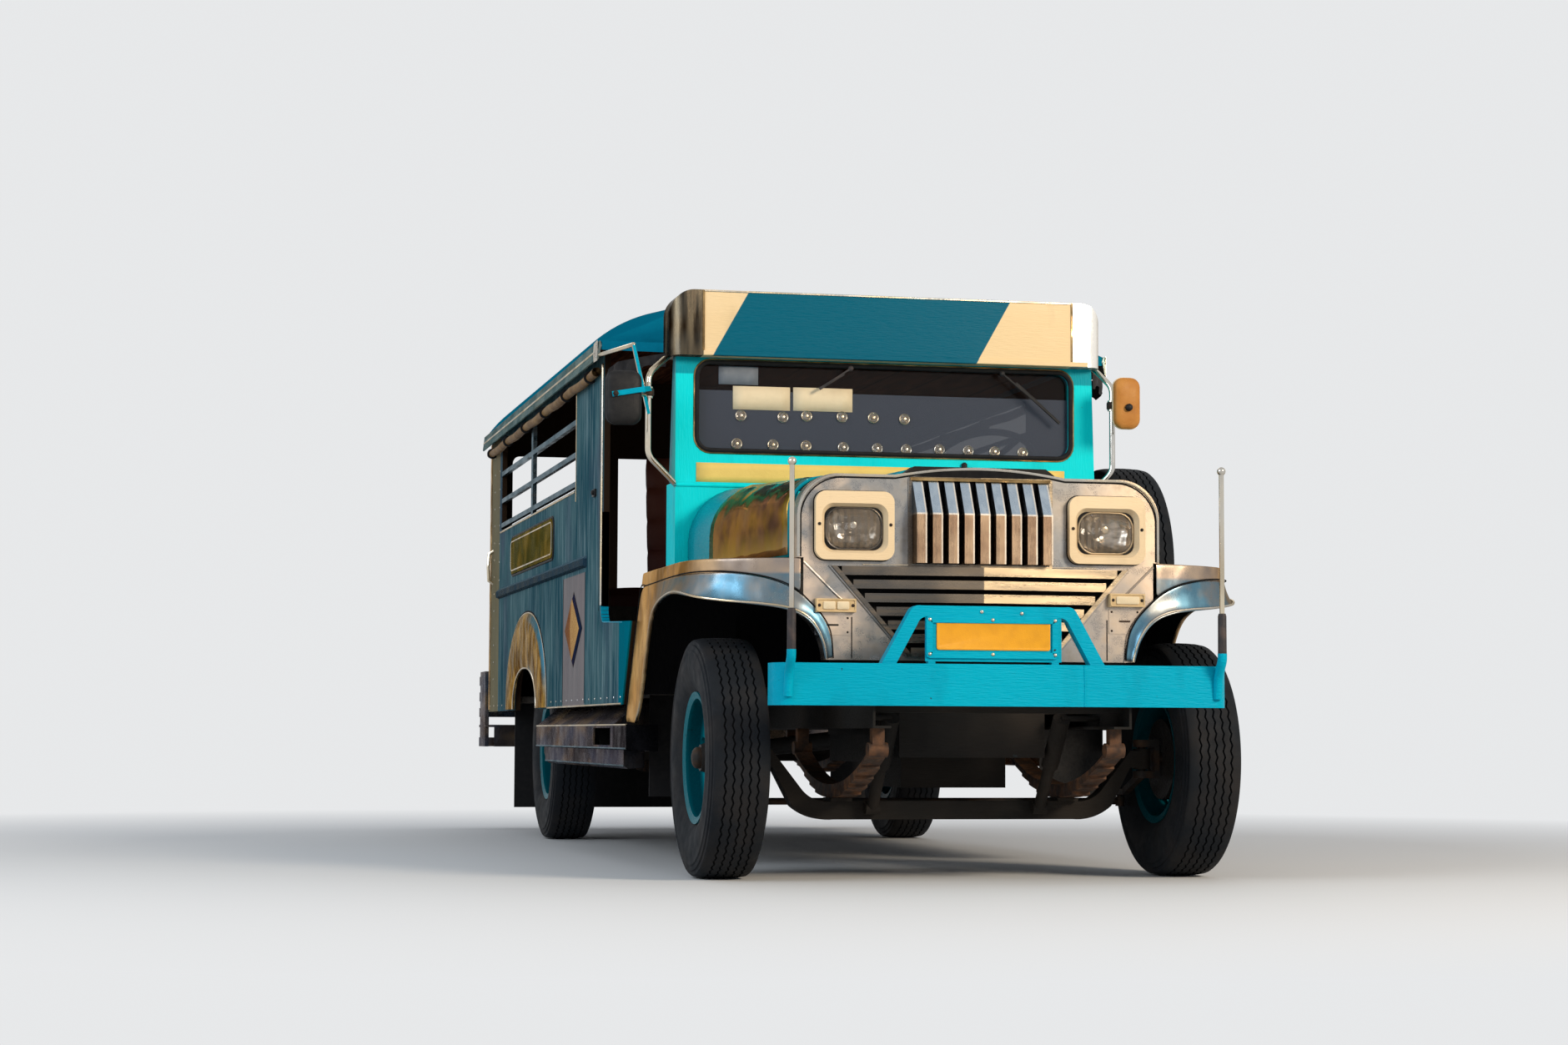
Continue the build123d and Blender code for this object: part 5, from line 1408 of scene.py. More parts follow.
def stacked(name, rows, material):
    """Shrinking outlines, bridged one to the next and closed by the last, with the face to the front."""
    bm = bmesh.new()
    close_ends(bm, add_skin(bm, rows, closed=True)[-1:])
    made = finish_piece(bm, name, material)
    upright_normals(made, lambda centre: FRONTWARD)
    return made


def headlamp(label, side):
    dome_rows = [lens_outline(side, s, LENS_FOOT - 0.020 * (1 - s ** 2.2))
                 for s in (1, 0.97, 0.9, 0.78, 0.6, 0.4, 0.2)]
    stacked(f"lamp_glass_{label}", dome_rows, lens)
    bowl_rows = [lens_outline(side, s, LENS_FOOT + 0.002 + d) for s, d in
                 ((1, 0), (0.96, 0.010), (0.84, 0.022), (0.66, 0.033), (0.42, 0.042), (0.2, 0.046))]
    bowl = stacked(f"lamp_bowl_{label}", bowl_rows, lens_bowl)
    if side > 0:
        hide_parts("headlamps")
    turned_piece(f"lamp_filament_cap_{label}", [at(side * LAMP_X, -0.336, LAMP_MIDDLE_Z + 0.012)], FRONTWARD,
                 [(0, 0), (0.016, 0), (0.015, 0.014), (0.011, 0.022), (0, 0.024)], rib_steel, sides=16)
    front_run(f"lamp_ring_{label}", [(p.x, p.z) for p in lens_outline(side, 1.02, 0)], LENS_FOOT - 0.002,
              round_section(0.0030), bar_steel)
    pairs = rounded_path((side * LAMP_X - 0.0972, 1.0808), (side * LAMP_X + 0.0972, 1.2202), 0.032, 6)
    bm = bmesh.new()
    add_skin(bm, [on_front(pairs, -0.364), lens_outline(side, 1.0, -0.362)], closed=True)
    thicken(finish_piece(bm, f"lamp_surround_{label}", black_plastic), 0.002)
    pairs = rounded_path((side * LAMP_X - 0.1335, 1.0455), (side * LAMP_X + 0.1335, 1.2735), 0.0375, 6)
    front_run(f"bezel_joint_{label}", pairs, NOSE_FACE, flat_section(0.004, 0.0025), underseal)
    places = [at(side * LAMP_X + way, -0.3865, 1.163) for way in (-0.1195, 0.1195)]
    turned_piece(f"bezel_screws_{label}", places, FRONTWARD, dome(0.0055, 0.002, 0.001), iron, sides=12)


for label, side in SIDES:
    headlamp(label, side)

# %% [markdown]
# ## Apron details
#
# Below the lamps the apron has a pressed rib that runs down from the fender's corner, a marker lamp on
# each side, and slotted patches screwed on under them. The driver's side is set a little higher, as on
# the vehicle in the picture.

# %% Ribs, marker lamps and patches
def screws(bm, places, direction, radius=0.0045, sides=10):
    for place in places:
        add_turned(bm, place, direction, dome(radius, radius * 0.55, 0.0006), sides)


for label, side in SIDES:
    for name, pairs, section, metal in (
            ("apron_rib", [(0.598, 1.040), (0.500, 0.945), (0.470, 0.918)], round_section(0.004),
             shell_steel),
            ("apron_seam", [(0.436, 0.727), (0.436, 0.862)], flat_section(0.0035, 0.0012), underseal),
            ("lower_grille_rim", [(0.252, 0.737), (0.512, 1.030)], flat_section(0.008, 0.005), shell_steel)):
        pairs = [(side * x, z) for x, z in pairs]
        front_run(f"{name}_{label}", pairs, NOSE_FACE, section, metal, closed=False)


def marker(name, low, high, windows):
    """The housing's rim, its two lens windows and the screws at its ends."""
    face = NOSE_FACE - 0.022
    bm = bmesh.new()
    add_run(bm, on_front(rounded_path(*grown(low, high, -0.003), 0.006, 3), face), flat_section(0.005, 0.003),
            FRONTWARD, True)
    finish_piece(bm, f"{name}_rim", lamp_cream)
    bm = bmesh.new()
    middle_z = (low[1] + high[1]) / 2
    for x0, x1 in windows:
        outline = rounded_path((x0, middle_z - 0.013), (x1, middle_z + 0.013), 0.005, 3)
        middle_x = (x0 + x1) / 2
        top = [((u - middle_x) * 0.8 + middle_x, (v - middle_z) * 0.7 + middle_z) for u, v in outline]
        rows = [on_front(outline, face), on_front(outline, face - 0.004), on_front(top, face - 0.006)]
        close_ends(bm, add_skin(bm, rows, closed=True)[-1:])
    finish_piece(bm, f"{name}_lenses", card_cream)
    bm = bmesh.new()
    screws(bm, [at(low[0] + 0.011, face, middle_z), at(high[0] - 0.011, face, middle_z)], FRONTWARD, 0.0055)
    finish_piece(bm, f"{name}_screws", iron)


marker("marker_right", (-0.560, 0.876), (-0.426, 0.920), ((-0.536, -0.496), (-0.490, -0.450)))
marker("marker_left", (0.440, 0.906), (0.562, 0.950), ((0.462, 0.541),))


def apron_patch(name, low, high):
    bm = bmesh.new()
    add_plate(bm, on_front(rounded_path(low, high, 0.004, 2), NOSE_FACE), FRONTWARD * 0.0022)
    finish_piece(bm, name, shell_steel)
    bm = bmesh.new()
    x, z = (low[0] + high[0]) / 2, (low[1] + high[1]) / 2
    slot = rounded_path((x - 0.020, z - 0.003), (x + 0.020, z + 0.003), 0.0028, 3)
    add_plate(bm, on_front(slot, NOSE_FACE - 0.0022), FRONTWARD * 0.0006)
    screws(bm, [at(u, NOSE_FACE - 0.0022, v) for u in (low[0] + 0.010, high[0] - 0.010)
                for v in (low[1] + 0.010, high[1] - 0.010)], FRONTWARD, 0.0038)
    finish_piece(bm, f"{name}_slot", iron)


apron_patch("apron_patch_right", (-0.560, 0.802), (-0.440, 0.868))
apron_patch("apron_patch_left", (0.442, 0.817), (0.552, 0.900))

# %% [markdown]
# ## Plate, guard and bumper
#
# The plate's frame is a flat bar box on the guard, brush-painted with it, and the plate is a yellow
# sheet left blank. The poles stand in grey sleeves, on bent feet that are painted with the bumper. A
# weld seam crosses the bumper.

# %% Plate frame, blank plate, seams and pole sleeves
FRAME_LOW, FRAME_HIGH = (-0.262, 0.722), (0.178, 0.857)
front_run("plate_frame_bar", rounded_path(*grown(FRAME_LOW, FRAME_HIGH, -0.011), 0.004, 2), -0.640,
          flat_section(0.022, 0.0075), bumper_paint)


def number_plate():
    low, high = (-0.2265, 0.7495), (0.1505, 0.8425)
    bm = bmesh.new()
    levels = [(0.0, 0.0), (0.0, 0.0026), (0.0012, 0.0034), (0.0060, 0.0034), (0.0072, 0.0026)]
    rows = [on_front(rounded_path(*grown(low, high, -inset), 0.008, 4), -0.6405 - out)
            for inset, out in levels]
    add_solid(bm, rows)
    finish_piece(bm, "blank_plate", plate_yellow)


number_plate()
bm = bmesh.new()
screws(bm, [at(x, -0.6475, z) for x in (-0.250, -0.042, 0.166) for z in (0.736, 0.846)], FRONTWARD, 0.0060)
screws(bm, [at(-0.078, -0.6450, 0.872), at(0.055, -0.6450, 0.868)], FRONTWARD, 0.0060)
finish_piece(bm, "plate_bolts", rib_steel)
front_run("bumper_weld", [(0.261, 0.572), (0.262, 0.640), (0.260, 0.704)], -0.656, round_section(0.0022, 6),
          bumper_paint, closed=False)

POLE_X, POLE_STATION, ROD_FOOT, SLEEVE_FOOT = 0.712, -0.700, 0.862, 0.728
BALL, NECK = 0.0140, 0.62
ROD_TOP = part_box("guide_poles")[1].z - BALL - ROD_FOOT
ball_turns = [NECK + (pi - NECK) * k / 9 for k in range(9)]
ball = [(BALL * sin(turn), ROD_TOP - BALL * cos(turn)) for turn in ball_turns]
ROD = [(0, 0), (0.0080, 0), (0.0080, ROD_TOP - BALL)] + ball + [(0, ROD_TOP + BALL)]
SLEEVE = [(0, 0), (0.0132, 0), (0.0145, 0.002), (0.0142, 0.030), (0.0138, 0.138), (0.0115, 0.146), (0, 0.148)]
FOOT = [(-0.700, 0.745), (-0.698, 0.722), (-0.680, 0.694), (-0.664, 0.662), (-0.655, 0.600)]

for label, side in SIDES:
    bm = bmesh.new()
    add_turned(bm, at(side * POLE_X, POLE_STATION, ROD_FOOT), (0, 0, 1), ROD, 20)
    finish_piece(bm, f"pole_rod_{label}", chrome,
                 replaces=["guide_poles"] if side > 0 else [])
    turned_piece(f"pole_sleeve_{label}", [at(side * POLE_X, POLE_STATION, SLEEVE_FOOT)], (0, 0, 1), SLEEVE,
                 sleeve_grey, 16)
    bm = bmesh.new()
    add_run(bm, smooth_line(on_side(FOOT, side * POLE_X)), round_section(0.0152, 14), (side, 0, 0))
    finish_piece(bm, f"pole_foot_{label}", bumper_paint)

# %% [markdown]
# ## Mirrors
#
# Each mirror's back is a shallow shell over the flat glass of the frame. The right-hand one is black
# plastic with a painted crossbar and a flat painted stay, and the driver's one is amber brown with a
# paler rim. Both hang from their tubes by a clamp with a bolt.

# %% Mirror backs, clamps and stay
def mirror_back(name, low, high, material, rim_material):
    x, z = (low[0] + high[0]) / 2, (low[1] + high[1]) / 2
    half = ((high[0] - low[0]) / 2, (high[1] - low[1]) / 2)
    rows = []
    for scale, station in ((1.0, 0.744), (1.02, 0.738), (1.02, 0.729), (0.96, 0.721), (0.84, 0.716),
                           (0.5, 0.713)):
        w, h = half[0] * scale, half[1] * scale
        rows.append(on_front(rounded_path((x - w, z - h), (x + w, z + h), 0.034 * scale, 6), station))
    stacked(name, rows, material)
    pairs = rounded_path(*grown(low, high, 0.001), 0.035, 6)
    front_run(f"{name}_rim", pairs, 0.742, round_section(0.0035, 6), rim_material)


mirror_back("mirror_back_right", (-1.0810, 1.5905), (-0.9540, 1.7815), black_plastic, black_rubber)
mirror_back("mirror_back_left", (0.8340, 1.6245), (0.9330, 1.8115), amber_brown, card_cream)
bm = bmesh.new()
add_run(bm, [at(-1.062, 0.7095, 1.694), at(-0.9450, 0.7070, 1.715), at(-0.902, 0.826, 1.732)],
        flat_section(0.019, 0.005), FRONTWARD)
add_run(bm, [at(-0.907, 0.838, 1.640), at(-0.966, 0.828, 1.890)], flat_section(0.011, 0.003), FRONTWARD)
finish_piece(bm, "mirror_stay_right", bumper_paint)
bm = bmesh.new()
add_turned(bm, at(-1.050, 0.7050, 1.696), FRONTWARD,
           [(0, 0), (0.011, 0), (0.011, 0.005), (0.006, 0.006), (0.006, 0.013), (0, 0.014)], 6)
for x in (-0.907, 0.866):
    add_turned(bm, at(x, 0.850, 1.706), (0, 0, 1), [(0.0115, 0), (0.019, 0), (0.021, 0.004), (0.021, 0.024),
                                                    (0.019, 0.028), (0.0115, 0.028)], 16)
finish_piece(bm, "mirror_clamps", iron)
turned_piece("mirror_knob_left", [at(0.884, 0.712, 1.700)], FRONTWARD, dome(0.014, 0.010, 0.008),
             black_plastic)

# %% [markdown]
# ## Sides
#
# A polished bead edges the post behind each doorway, a black latch sits on it, and the doorway's lower
# corner is lined with painted sheet. The raised panel has a black gasket with a bright bead inside. Each
# arch cover is one crowned sheet: it rises from the panel, is nearly flat, and turns in again round the
# wheel, with a bead on its outer edge and a bright lip. Beads edge the steps too, and a raised lozenge
# sits on the pale panel. Rows of rivets hold the skirt and the posts, and a grab handle and a golden
# corner strip stand at the rear.

# %% Arch covers, lozenges, handles, latches and rivets
SIDE_FACE = 0.974
ARCH_MIDDLE, ARCH_FOOT = 3.72, 0.590


def arch_line(half, top, power):
    """A smooth arch over the rear wheel, as (station, z) pairs from its front foot to its rear one."""
    return [(ARCH_MIDDLE - half * (1 if cos(t) > 0 else -1) * abs(cos(t)) ** power,
             ARCH_FOOT + (top - ARCH_FOOT) * sin(t) ** power) for t in spaced(0, pi, 40)]


ARCH_OUTER, ARCH_INNER = arch_line(0.700, 1.026, 0.92), arch_line(0.415, 0.775, 0.90)
ARCH_SHADOW = [(ARCH_MIDDLE + (u - ARCH_MIDDLE) * 1.012, ARCH_FOOT + (v - ARCH_FOOT) * 1.016)
               for u, v in ARCH_OUTER]
# How far a row of the cover's skin lies from its outer line to its inner one, and its x
ARCH_ROWS = [(0, 0.9745), (0.02, 0.9800), (0.09, 0.9855), (0.18, 0.9885), (0.30, 0.9905), (0.55, 0.9915),
             (0.80, 0.9900), (0.94, 0.9875), (1.0, 0.9835), (1.0, 0.9745)]
PANEL_LOW, PANEL_HIGH = (2.840, 1.231), (4.280, 1.400)


def arch_cover(label, side):
    rows = [[at(side * x, a[0] + (b[0] - a[0]) * share, a[1] + (b[1] - a[1]) * share)
             for a, b in zip(ARCH_OUTER, ARCH_INNER)] for share, x in ARCH_ROWS]
    bm = bmesh.new()
    add_skin(bm, rows)
    made = finish_piece(bm, f"arch_cover_{label}", arch_steel,
                        replaces=["arch_covers"] if side > 0 else [])
    upright_normals(made, lambda place: Vector((side, 0, 0)))


def side_lozenge(label, side):
    """Its rim lies on the panel, its faces rise steeply at first, and its tip is a small flat."""
    station, z = LOZENGE_PLACE
    wide, tall = LOZENGE_HALF
    rim = [at(side * SIDE_FACE, station + u, z + v)
           for u, v in ((wide, 0), (0, tall), (-wide, 0), (0, -tall))]
    centre = at(side * (SIDE_FACE + 0.016), station, z)
    step = [corner.lerp(centre, 0.22) + Vector((side * 0.007, 0, 0)) for corner in rim]
    bm = bmesh.new()
    close_ends(bm, add_skin(bm, [rim, step, [c.lerp(centre, 0.96) for c in rim]], closed=True)[-1:])
    made = finish_piece(bm, f"side_lozenge_{label}", lozenge_gold)
    upright_normals(made, lambda place: Vector((side, 0, 0)))


def grab_handle(label, side):
    bm = bmesh.new()
    add_run(bm, [at(side * x, 5.052, z) for x, z in ((0.972, 1.225), (0.996, 1.240), (1.000, 1.306),
                                                     (0.996, 1.373), (0.972, 1.388))],
            round_section(0.0075), (0, 1, 0))
    finish_piece(bm, f"grab_handle_{label}", chrome)


def post_latch(label, side):
    bm = bmesh.new()
    add_block(bm, at(side * 0.9735, 1.640, 1.400), at(side * 0.984, 1.700, 1.430))
    soften(bm, 0.003)
    add_turned(bm, at(side * 0.980, 1.652, 1.415), (side, 0, 0), dome(0.010, 0.005, 0.010), 12)
    finish_piece(bm, f"post_latch_{label}", black_plastic)


def side_rivets(label, side):
    """Rows of first station, first z, the steps in both and the count."""
    bm = bmesh.new()
    for station, z, on, up, count in ((1.020, 0.612, 0.155, 0, 13), (4.46, 0.612, 0.165, 0, 5),
                                      (1.530, 1.00, 0, 0.110, 9), (4.80, 1.23, 0, 0.09, 8),
                                      (5.00, 0.66, 0, 0.085, 15)):
        for k in range(count):
            add_turned(bm, at(side * 0.9738, station + on * k, z + up * k), (side, 0, 0),
                       [(0, 0), (0.0045, 0), (0.0032, 0.0018), (0, 0.0024)], 7)
    finish_piece(bm, f"side_rivets_{label}", polished)


for label, side in SIDES:
    for piece in (arch_cover, side_lozenge, grab_handle, post_latch, side_rivets):
        piece(label, side)

# %% [markdown]
# ## Lines along the sides
#
# All that is left on the sides is a line with a section: beads, seams, joints, the edges of sheets and a
# painted shadow line round the arch cover. So one table lists them by their points on the side, and a loop
# makes each of them twice.

# %% Beads, seams, linings and strips
BEAD, THIN_BEAD, STEP_BEAD, DARK_LINE = (round_section(0.0055), round_section(0.0035, 6),
                                         round_section(0.0034, 6), flat_section(0.006, 0.001))
# name, first and last (station, z) or the whole line, x, section and finish
SIDE_RUNS = [
    ("post_bead", [(1.5045, 0.97), (1.5045, 1.905)], SIDE_FACE, BEAD, rib_steel),
    ("post_seam", [(1.560, 0.95), (1.560, 1.90)], SIDE_FACE, flat_section(0.004, 0.001), underseal),
    ("post_rear_bead", [(2.190, 1.42), (2.190, 1.895)], SIDE_FACE, THIN_BEAD, rib_steel),
    ("arch_edge", ARCH_OUTER, SIDE_FACE + 0.001, THIN_BEAD, rib_steel),
    # A painted shadow line just outside the arch cover's edge.
    ("arch_shadow", ARCH_SHADOW, SIDE_FACE, DARK_LINE, underseal),
    ("arch_lip", ARCH_INNER, SIDE_FACE + 0.010, round_section(0.0040), rib_steel),
    ("skirt_edge", [(1.00, 0.5885), (3.00, 0.5885)], SIDE_FACE, THIN_BEAD, rib_steel),
    ("step_bead_top", [(0.747, 0.5105), (3.163, 0.5105)], 0.9965, STEP_BEAD, rib_steel),
    ("step_bead_low", [(0.747, 0.4255), (3.163, 0.4255)], 0.9965, STEP_BEAD, rail_steel),
    ("step_bead_pan", [(1.037, 0.3610), (3.163, 0.3610)], 0.9560, STEP_BEAD, rail_steel),
    ("window_sill", [(2.225, 1.463), (4.750, 1.463)], SIDE_FACE, round_section(0.005), rib_steel),
] + [(f"panel_line_{round(station * 1000)}", [(station, 0.600), (station, 1.120)], SIDE_FACE, DARK_LINE,
      underseal) for station in PANEL_LINES]

DOOR_FOOT = [(1.500, 0.965)] + arc((1.500, 0.965), (1.483, 0.922), (1.440, 0.905), 6)


def side_run(name, side, pairs, x, section, material, closed=False):
    bm = bmesh.new()
    add_run(bm, on_side(pairs, side * x), section, (side, 0, 0), closed)
    finish_piece(bm, name, material)


for label, side in SIDES:
    for name, pairs, x, section, finish in SIDE_RUNS:
        side_run(f"{name}_{label}", side, pairs, x, section, finish)
    lining = [(out, way * side) for out, way in ((-0.029, 0.0), (0.0015, 0.0), (0.0015, -0.0030),
                                                 (-0.029, -0.0030))]
    side_run(f"door_lining_{label}", side, [(1.500, 1.330)] + DOOR_FOOT + [(0.985, 0.8885)], SIDE_FACE,
             lining, bumper_paint)
    side_run(f"panel_gasket_{label}", side, rounded_path(*grown(PANEL_LOW, PANEL_HIGH, 0.006), 0.044),
             SIDE_FACE, round_section(0.0065), black_rubber, True)
    side_run(f"panel_bead_{label}", side, rounded_path(*grown(PANEL_LOW, PANEL_HIGH, -0.016), 0.030),
             SIDE_FACE + 0.008, THIN_BEAD, rib_steel, True)
    side_run(f"corner_strip_{label}", side, [(5.145, 0.595), (5.145, 1.930)], SIDE_FACE,
             flat_section(0.045, 0.004), golden)

# %% [markdown]
# ## Eaves and canvas
#
# A bright gutter strip with a corner piece closes each eave. Over the doorways, dark canvas is nailed
# from the sign box back to the eave, as a rain flap. It hangs in a shallow curve between its nails, so
# it is a skin of sagging rows and not a flat panel.

# %% Eave corners, gutter beads and canvas flaps
for label, side in SIDES:
    bm = bmesh.new()
    add_run(bm, [at(side * 1.0135, 1.372, 1.9405), at(side * 1.0135, 5.188, 1.9405)],
            [(0, -0.004), (0.002, -0.004), (0.002, 0.004), (0, 0.004)], (side, 0, 0))
    finish_piece(bm, f"eave_bead_{label}", rib_steel)
    bm = bmesh.new()
    outline = [(1.371, 1.898), (1.455, 1.900), (1.470, 1.930), (1.455, 1.972), (1.371, 1.976)]
    add_plate(bm, on_side(outline, side * 1.0185), Vector((-side * 0.002, 0, 0)))
    screws(bm, on_side([(1.390, 1.915), (1.390, 1.960), (1.445, 1.936)], side * 1.0185), (side, 0, 0), 0.004)
    finish_piece(bm, f"eave_corner_{label}", polished)


def door_flap(label, side, drop):
    """A strip of canvas from the screen's post to the post behind the door, hung along its top edge."""
    rows = []
    for u in spaced(0, 1, 24):
        x = 0.832 + 0.136 * min(1.0, u / 0.55) ** 0.8
        station = 0.955 + 0.530 * u
        hang = drop * (0.86 + 0.14 * cos(6 * pi * u))
        row = []
        for v in spaced(0, 1, 8):
            billow = 0.007 * sin(pi * v) * sin(7 * pi * u) + 0.004 * v * sin(11 * pi * u + 1.0)
            row.append(at(side * (x + billow - 0.010), station, 1.880 - hang * v))
        rows.append(row)
    bm = bmesh.new()
    add_skin(bm, rows)
    area = sum(face.calc_area() for face in bm.faces)
    made = finish_piece(bm, f"door_flap_{label}", black_canvas)


door_flap("left", 1, 0.085)
door_flap("right", -1, 0.050)

# %% [markdown]
# ## Rear gable
#
# The rear wall ends a little below the roof, and a bent strip of the same sheet closes that gap. It
# follows the roof's line from eave to eave, just under the roof's rear overhang.

# %% Strip between the rear wall and the roof
EAVE_Z = 1.945
GABLE_OUTER = [(0.988, EAVE_Z), (0.988, 1.975)] + arc((0.988, 1.975), (0.862, 2.107), (0.660, 2.203)) + arc(
    (0.660, 2.203), (0.0, 2.288), (-0.660, 2.203), 24) + arc(
    (-0.660, 2.203), (-0.862, 2.107), (-0.988, 1.975)) + [(-0.988, EAVE_Z)]
bm = bmesh.new()
rows = []
for u, v in GABLE_OUTER:
    x, z = 0.915 * u, EAVE_Z + 0.80 * (v - EAVE_Z)
    rows.append([at(u, 5.166, v), at(u, 5.170, v), at(x, 5.170, z), at(x, 5.166, z)])
add_solid(bm, rows)
finish_piece(bm, "rear_gable_strip", side_steel)

# %% [markdown]
# ## Rolled curtains
#
# Rain curtains are rolled up under the eaves and tied. Each is one sheet wound round itself: a spiral
# whose radius grows by one thickness a turn, with a slight sag and ripple between its ties, and the free
# edge hanging as a short tail. The length of the spiral times that of the roll is the flat size.

# %% Curtain rolls and their ties
ROLL_X, ROLL_Z, ROLL_START, ROLL_END = 0.994, 1.872, 1.545, 5.055
ROLL_IN, ROLL_OUT, ROLL_PITCH = 0.0035, 0.0195, 0.0023
TIES = [1.70 + 0.655 * k for k in range(6)]


def nearest_tie(station):
    return min(abs(station - tie) for tie in TIES)


def curtain_roll(label, side):
    turns = (ROLL_OUT - ROLL_IN) / ROLL_PITCH
    count = int(turns * 18)
    rows = []
    for station in spaced(ROLL_START, ROLL_END, 72):
        loose = min(1.0, nearest_tie(station) / 0.16)
        row = []
        for t in spaced(0, 1, count):
            angle = 2 * pi * turns * t
            radius = (ROLL_IN + (ROLL_OUT - ROLL_IN) * t) * (0.90 + 0.10 * loose)
            radius *= 1 + 0.035 * loose * ripple.noise(Vector((2 * cos(angle), station * 5, 2 * sin(angle))))
            sag = 0.004 * loose * sin(9 * station)
            row.append(at(side * (ROLL_X + radius * sin(angle)), station, ROLL_Z + sag + radius * cos(angle)))
        rows.append(row)
    bm = bmesh.new()
    add_skin(bm, rows)
    area = sum(face.calc_area() for face in bm.faces)
    made = finish_piece(bm, f"curtain_roll_{label}", curtain_fabric,
                        replaces=["curtain_rolls"] if side > 0 else [])
    curtain_ties(label, side)


def curtain_ties(label, side):
    bm = bmesh.new()
    for tie in TIES:
        circle = [at(side * (ROLL_X + u), tie, ROLL_Z + v) for u, v in round_section(0.0192, 20)]
        add_run(bm, circle, flat_section(0.014, 0.0015), (0, 1, 0), True)
    return finish_piece(bm, f"curtain_ties_{label}", black_rubber)


for label, side in SIDES:
    curtain_roll(label, side)

# %% [markdown]
# ## Benches and front seats
#
# The seats are foam under stitched vinyl. Each pad is a row of sections carried from one end to the
# other: flat below, crowned above, with a ridge of piping along both edges. The section draws in at the
# ends and at every sewn channel, so the foam swells between them.

# %% Padded seats
def pad_section(width, thick, crown, piping=0.0045):
    """(across, out) pairs round a pad, from its right-hand foot over the crowned face to the other."""
    half = width / 2
    side = [(half - 0.010, 0.0), (half - 0.002, 0.006), (half - 0.004, thick * 0.45)]
    side += [(half - 0.001, thick * 0.80), (half + piping, thick * 0.86), (half + piping, thick * 0.92),
             (half - 0.002, thick * 0.95)]
    top = []
    for k in range(1, 16):
        u = 1 - k / 8
        top.append((u * (half - 0.004), thick * (0.93 + 0.07 * (1 - u ** 4)) + crown * (1 - u * u)))
    return side + top + [(-u, v) for u, v in reversed(side)]


def make_pad(name, start, end, across, out, width, thick, crown, channels, replaces=()):
    start, end = Vector(start), Vector(end)
    across, out = Vector(across).normalized(), Vector(out).normalized()
    length = (end - start).length
    steps = max(24, int(length / 0.022))
    seams = [length * (k + 1) / (channels + 1) for k in range(channels)]
    rows = []
    for place in spaced(0, length, steps):
        near_end = min(place, length - place)
        full = 1 - max(0.0, 1 - near_end / 0.05) ** 2.2
        sewn = sum(0.010 * 2.718 ** (-((place - seam) / 0.013) ** 2) for seam in seams)
        pinch = 0.006 * (1 - full) + 0.25 * sewn
        row = []
        for u, v in pad_section(width - 2 * pinch, thick * (0.62 + 0.38 * full), crown * full):
            lift = 0.0022 * ripple.noise(Vector((u * 9, place * 6, v * 9))) if v > thick * 0.5 else 0.0
            drop = sewn if v > thick * 0.9 else 0.0
            row.append(start + (end - start) * (place / length) + across * u + out * (v + lift - drop))
        rows.append(row)
    bm = bmesh.new()
    add_solid(bm, rows)
    made = finish_piece(bm, name, vinyl, replaces=replaces)


for label, side in SIDES:
    make_pad(f"bench_pad_{label}", *on_side([(2.275, 1.0005), (5.103, 1.0005)], side * 0.705), (side, 0, 0),
             (0, 0, 1), 0.350, 0.068, 0.013, 11, replaces=["bench_cushions"] if side > 0 else [])
    make_pad(f"bench_back_{label}", *on_side([(2.275, 1.265), (5.103, 1.265)], side * 0.9425), (0, 0, 1),
             (-side, 0, 0), 0.345, 0.044, 0.010, 13)

LEAN = Vector((0, 0.080, 0.520)).normalized()
for label, x0, x1 in (("driver", 0.200, 0.740), ("passenger", -0.740, 0.020)):
    middle, width = (x0 + x1) / 2, x1 - x0
    bm = bmesh.new()
    add_block(bm, at(x0 + 0.020, 1.420, 0.6505), at(x1 - 0.020, 1.860, 0.960))
    soften(bm, 0.008)
    finish_piece(bm, f"{label}_seat_base", floor_plate,
                 replaces=["front_seats"] if label == "driver" else [])
    make_pad(f"{label}_seat_pad", *on_side([(1.385, 0.960), (1.875, 0.960)], middle), (1, 0, 0), (0, 0, 1),
             width - 0.012, 0.092, 0.016, 3)
    foot = at(middle, 1.868, 1.072)
    make_pad(f"{label}_seat_back", foot, foot + LEAN * 0.508, (1, 0, 0), Vector((1, 0, 0)).cross(LEAN),
             width - 0.012, 0.068, 0.012, 3)

# %% [markdown]
# ## Rear lamps
#
# Such a vehicle has a pair of round lamps low on the rear wall. The photograph doesn't show them, so
# they are of the plainest kind: a rubber ring, a red ribbed glass and two screws.

# %% Round tail lamps
LENS_RIBS = [(0.006 * k, 0.022 - 0.0011 * k + (0.0016 if k % 2 else 0)) for k in range(1, 7)]
TAIL_LENS = [(0, 0), (0.041, 0.0), (0.041, 0.008)] + LENS_RIBS[::-1] + [(0, 0.022)]
TAIL_RING = [(0.038, 0), (0.056, 0), (0.056, 0.008), (0.050, 0.014), (0.042, 0.012), (0.038, 0.0)]
for label, side in SIDES:
    place = at(side * 0.780, 5.1695, 0.860)
    turned_piece(f"tail_lamp_ring_{label}", [place], (0, 1, 0), TAIL_RING, black_rubber, 32)
    bm = bmesh.new()
    add_turned(bm, place, (0, 1, 0), TAIL_LENS, 32)
    screws(bm, [at(place.x + way * 0.030, 5.186, 0.860) for way in (-1, 1)], (0, 1, 0), 0.004)
    finish_piece(bm, f"tail_lamp_glass_{label}", tail_red)

# %% [markdown]
# ## Floor, backdrop and light
#
# The studio is a pale floor that fades into a plain pale background. Far from the vehicle the floor's
# own look gives way to a light of the background's colour, by the distance on the floor itself, so no
# seam shows at the horizon. Only camera, glossy and transmission rays see that light, on the floor and
# in the world alike, so it never falls on the vehicle, which is lit by a plain weaker world and soft
# lamps. The key lamp is low and warm, from the driver's side, as the evening sun in the picture.

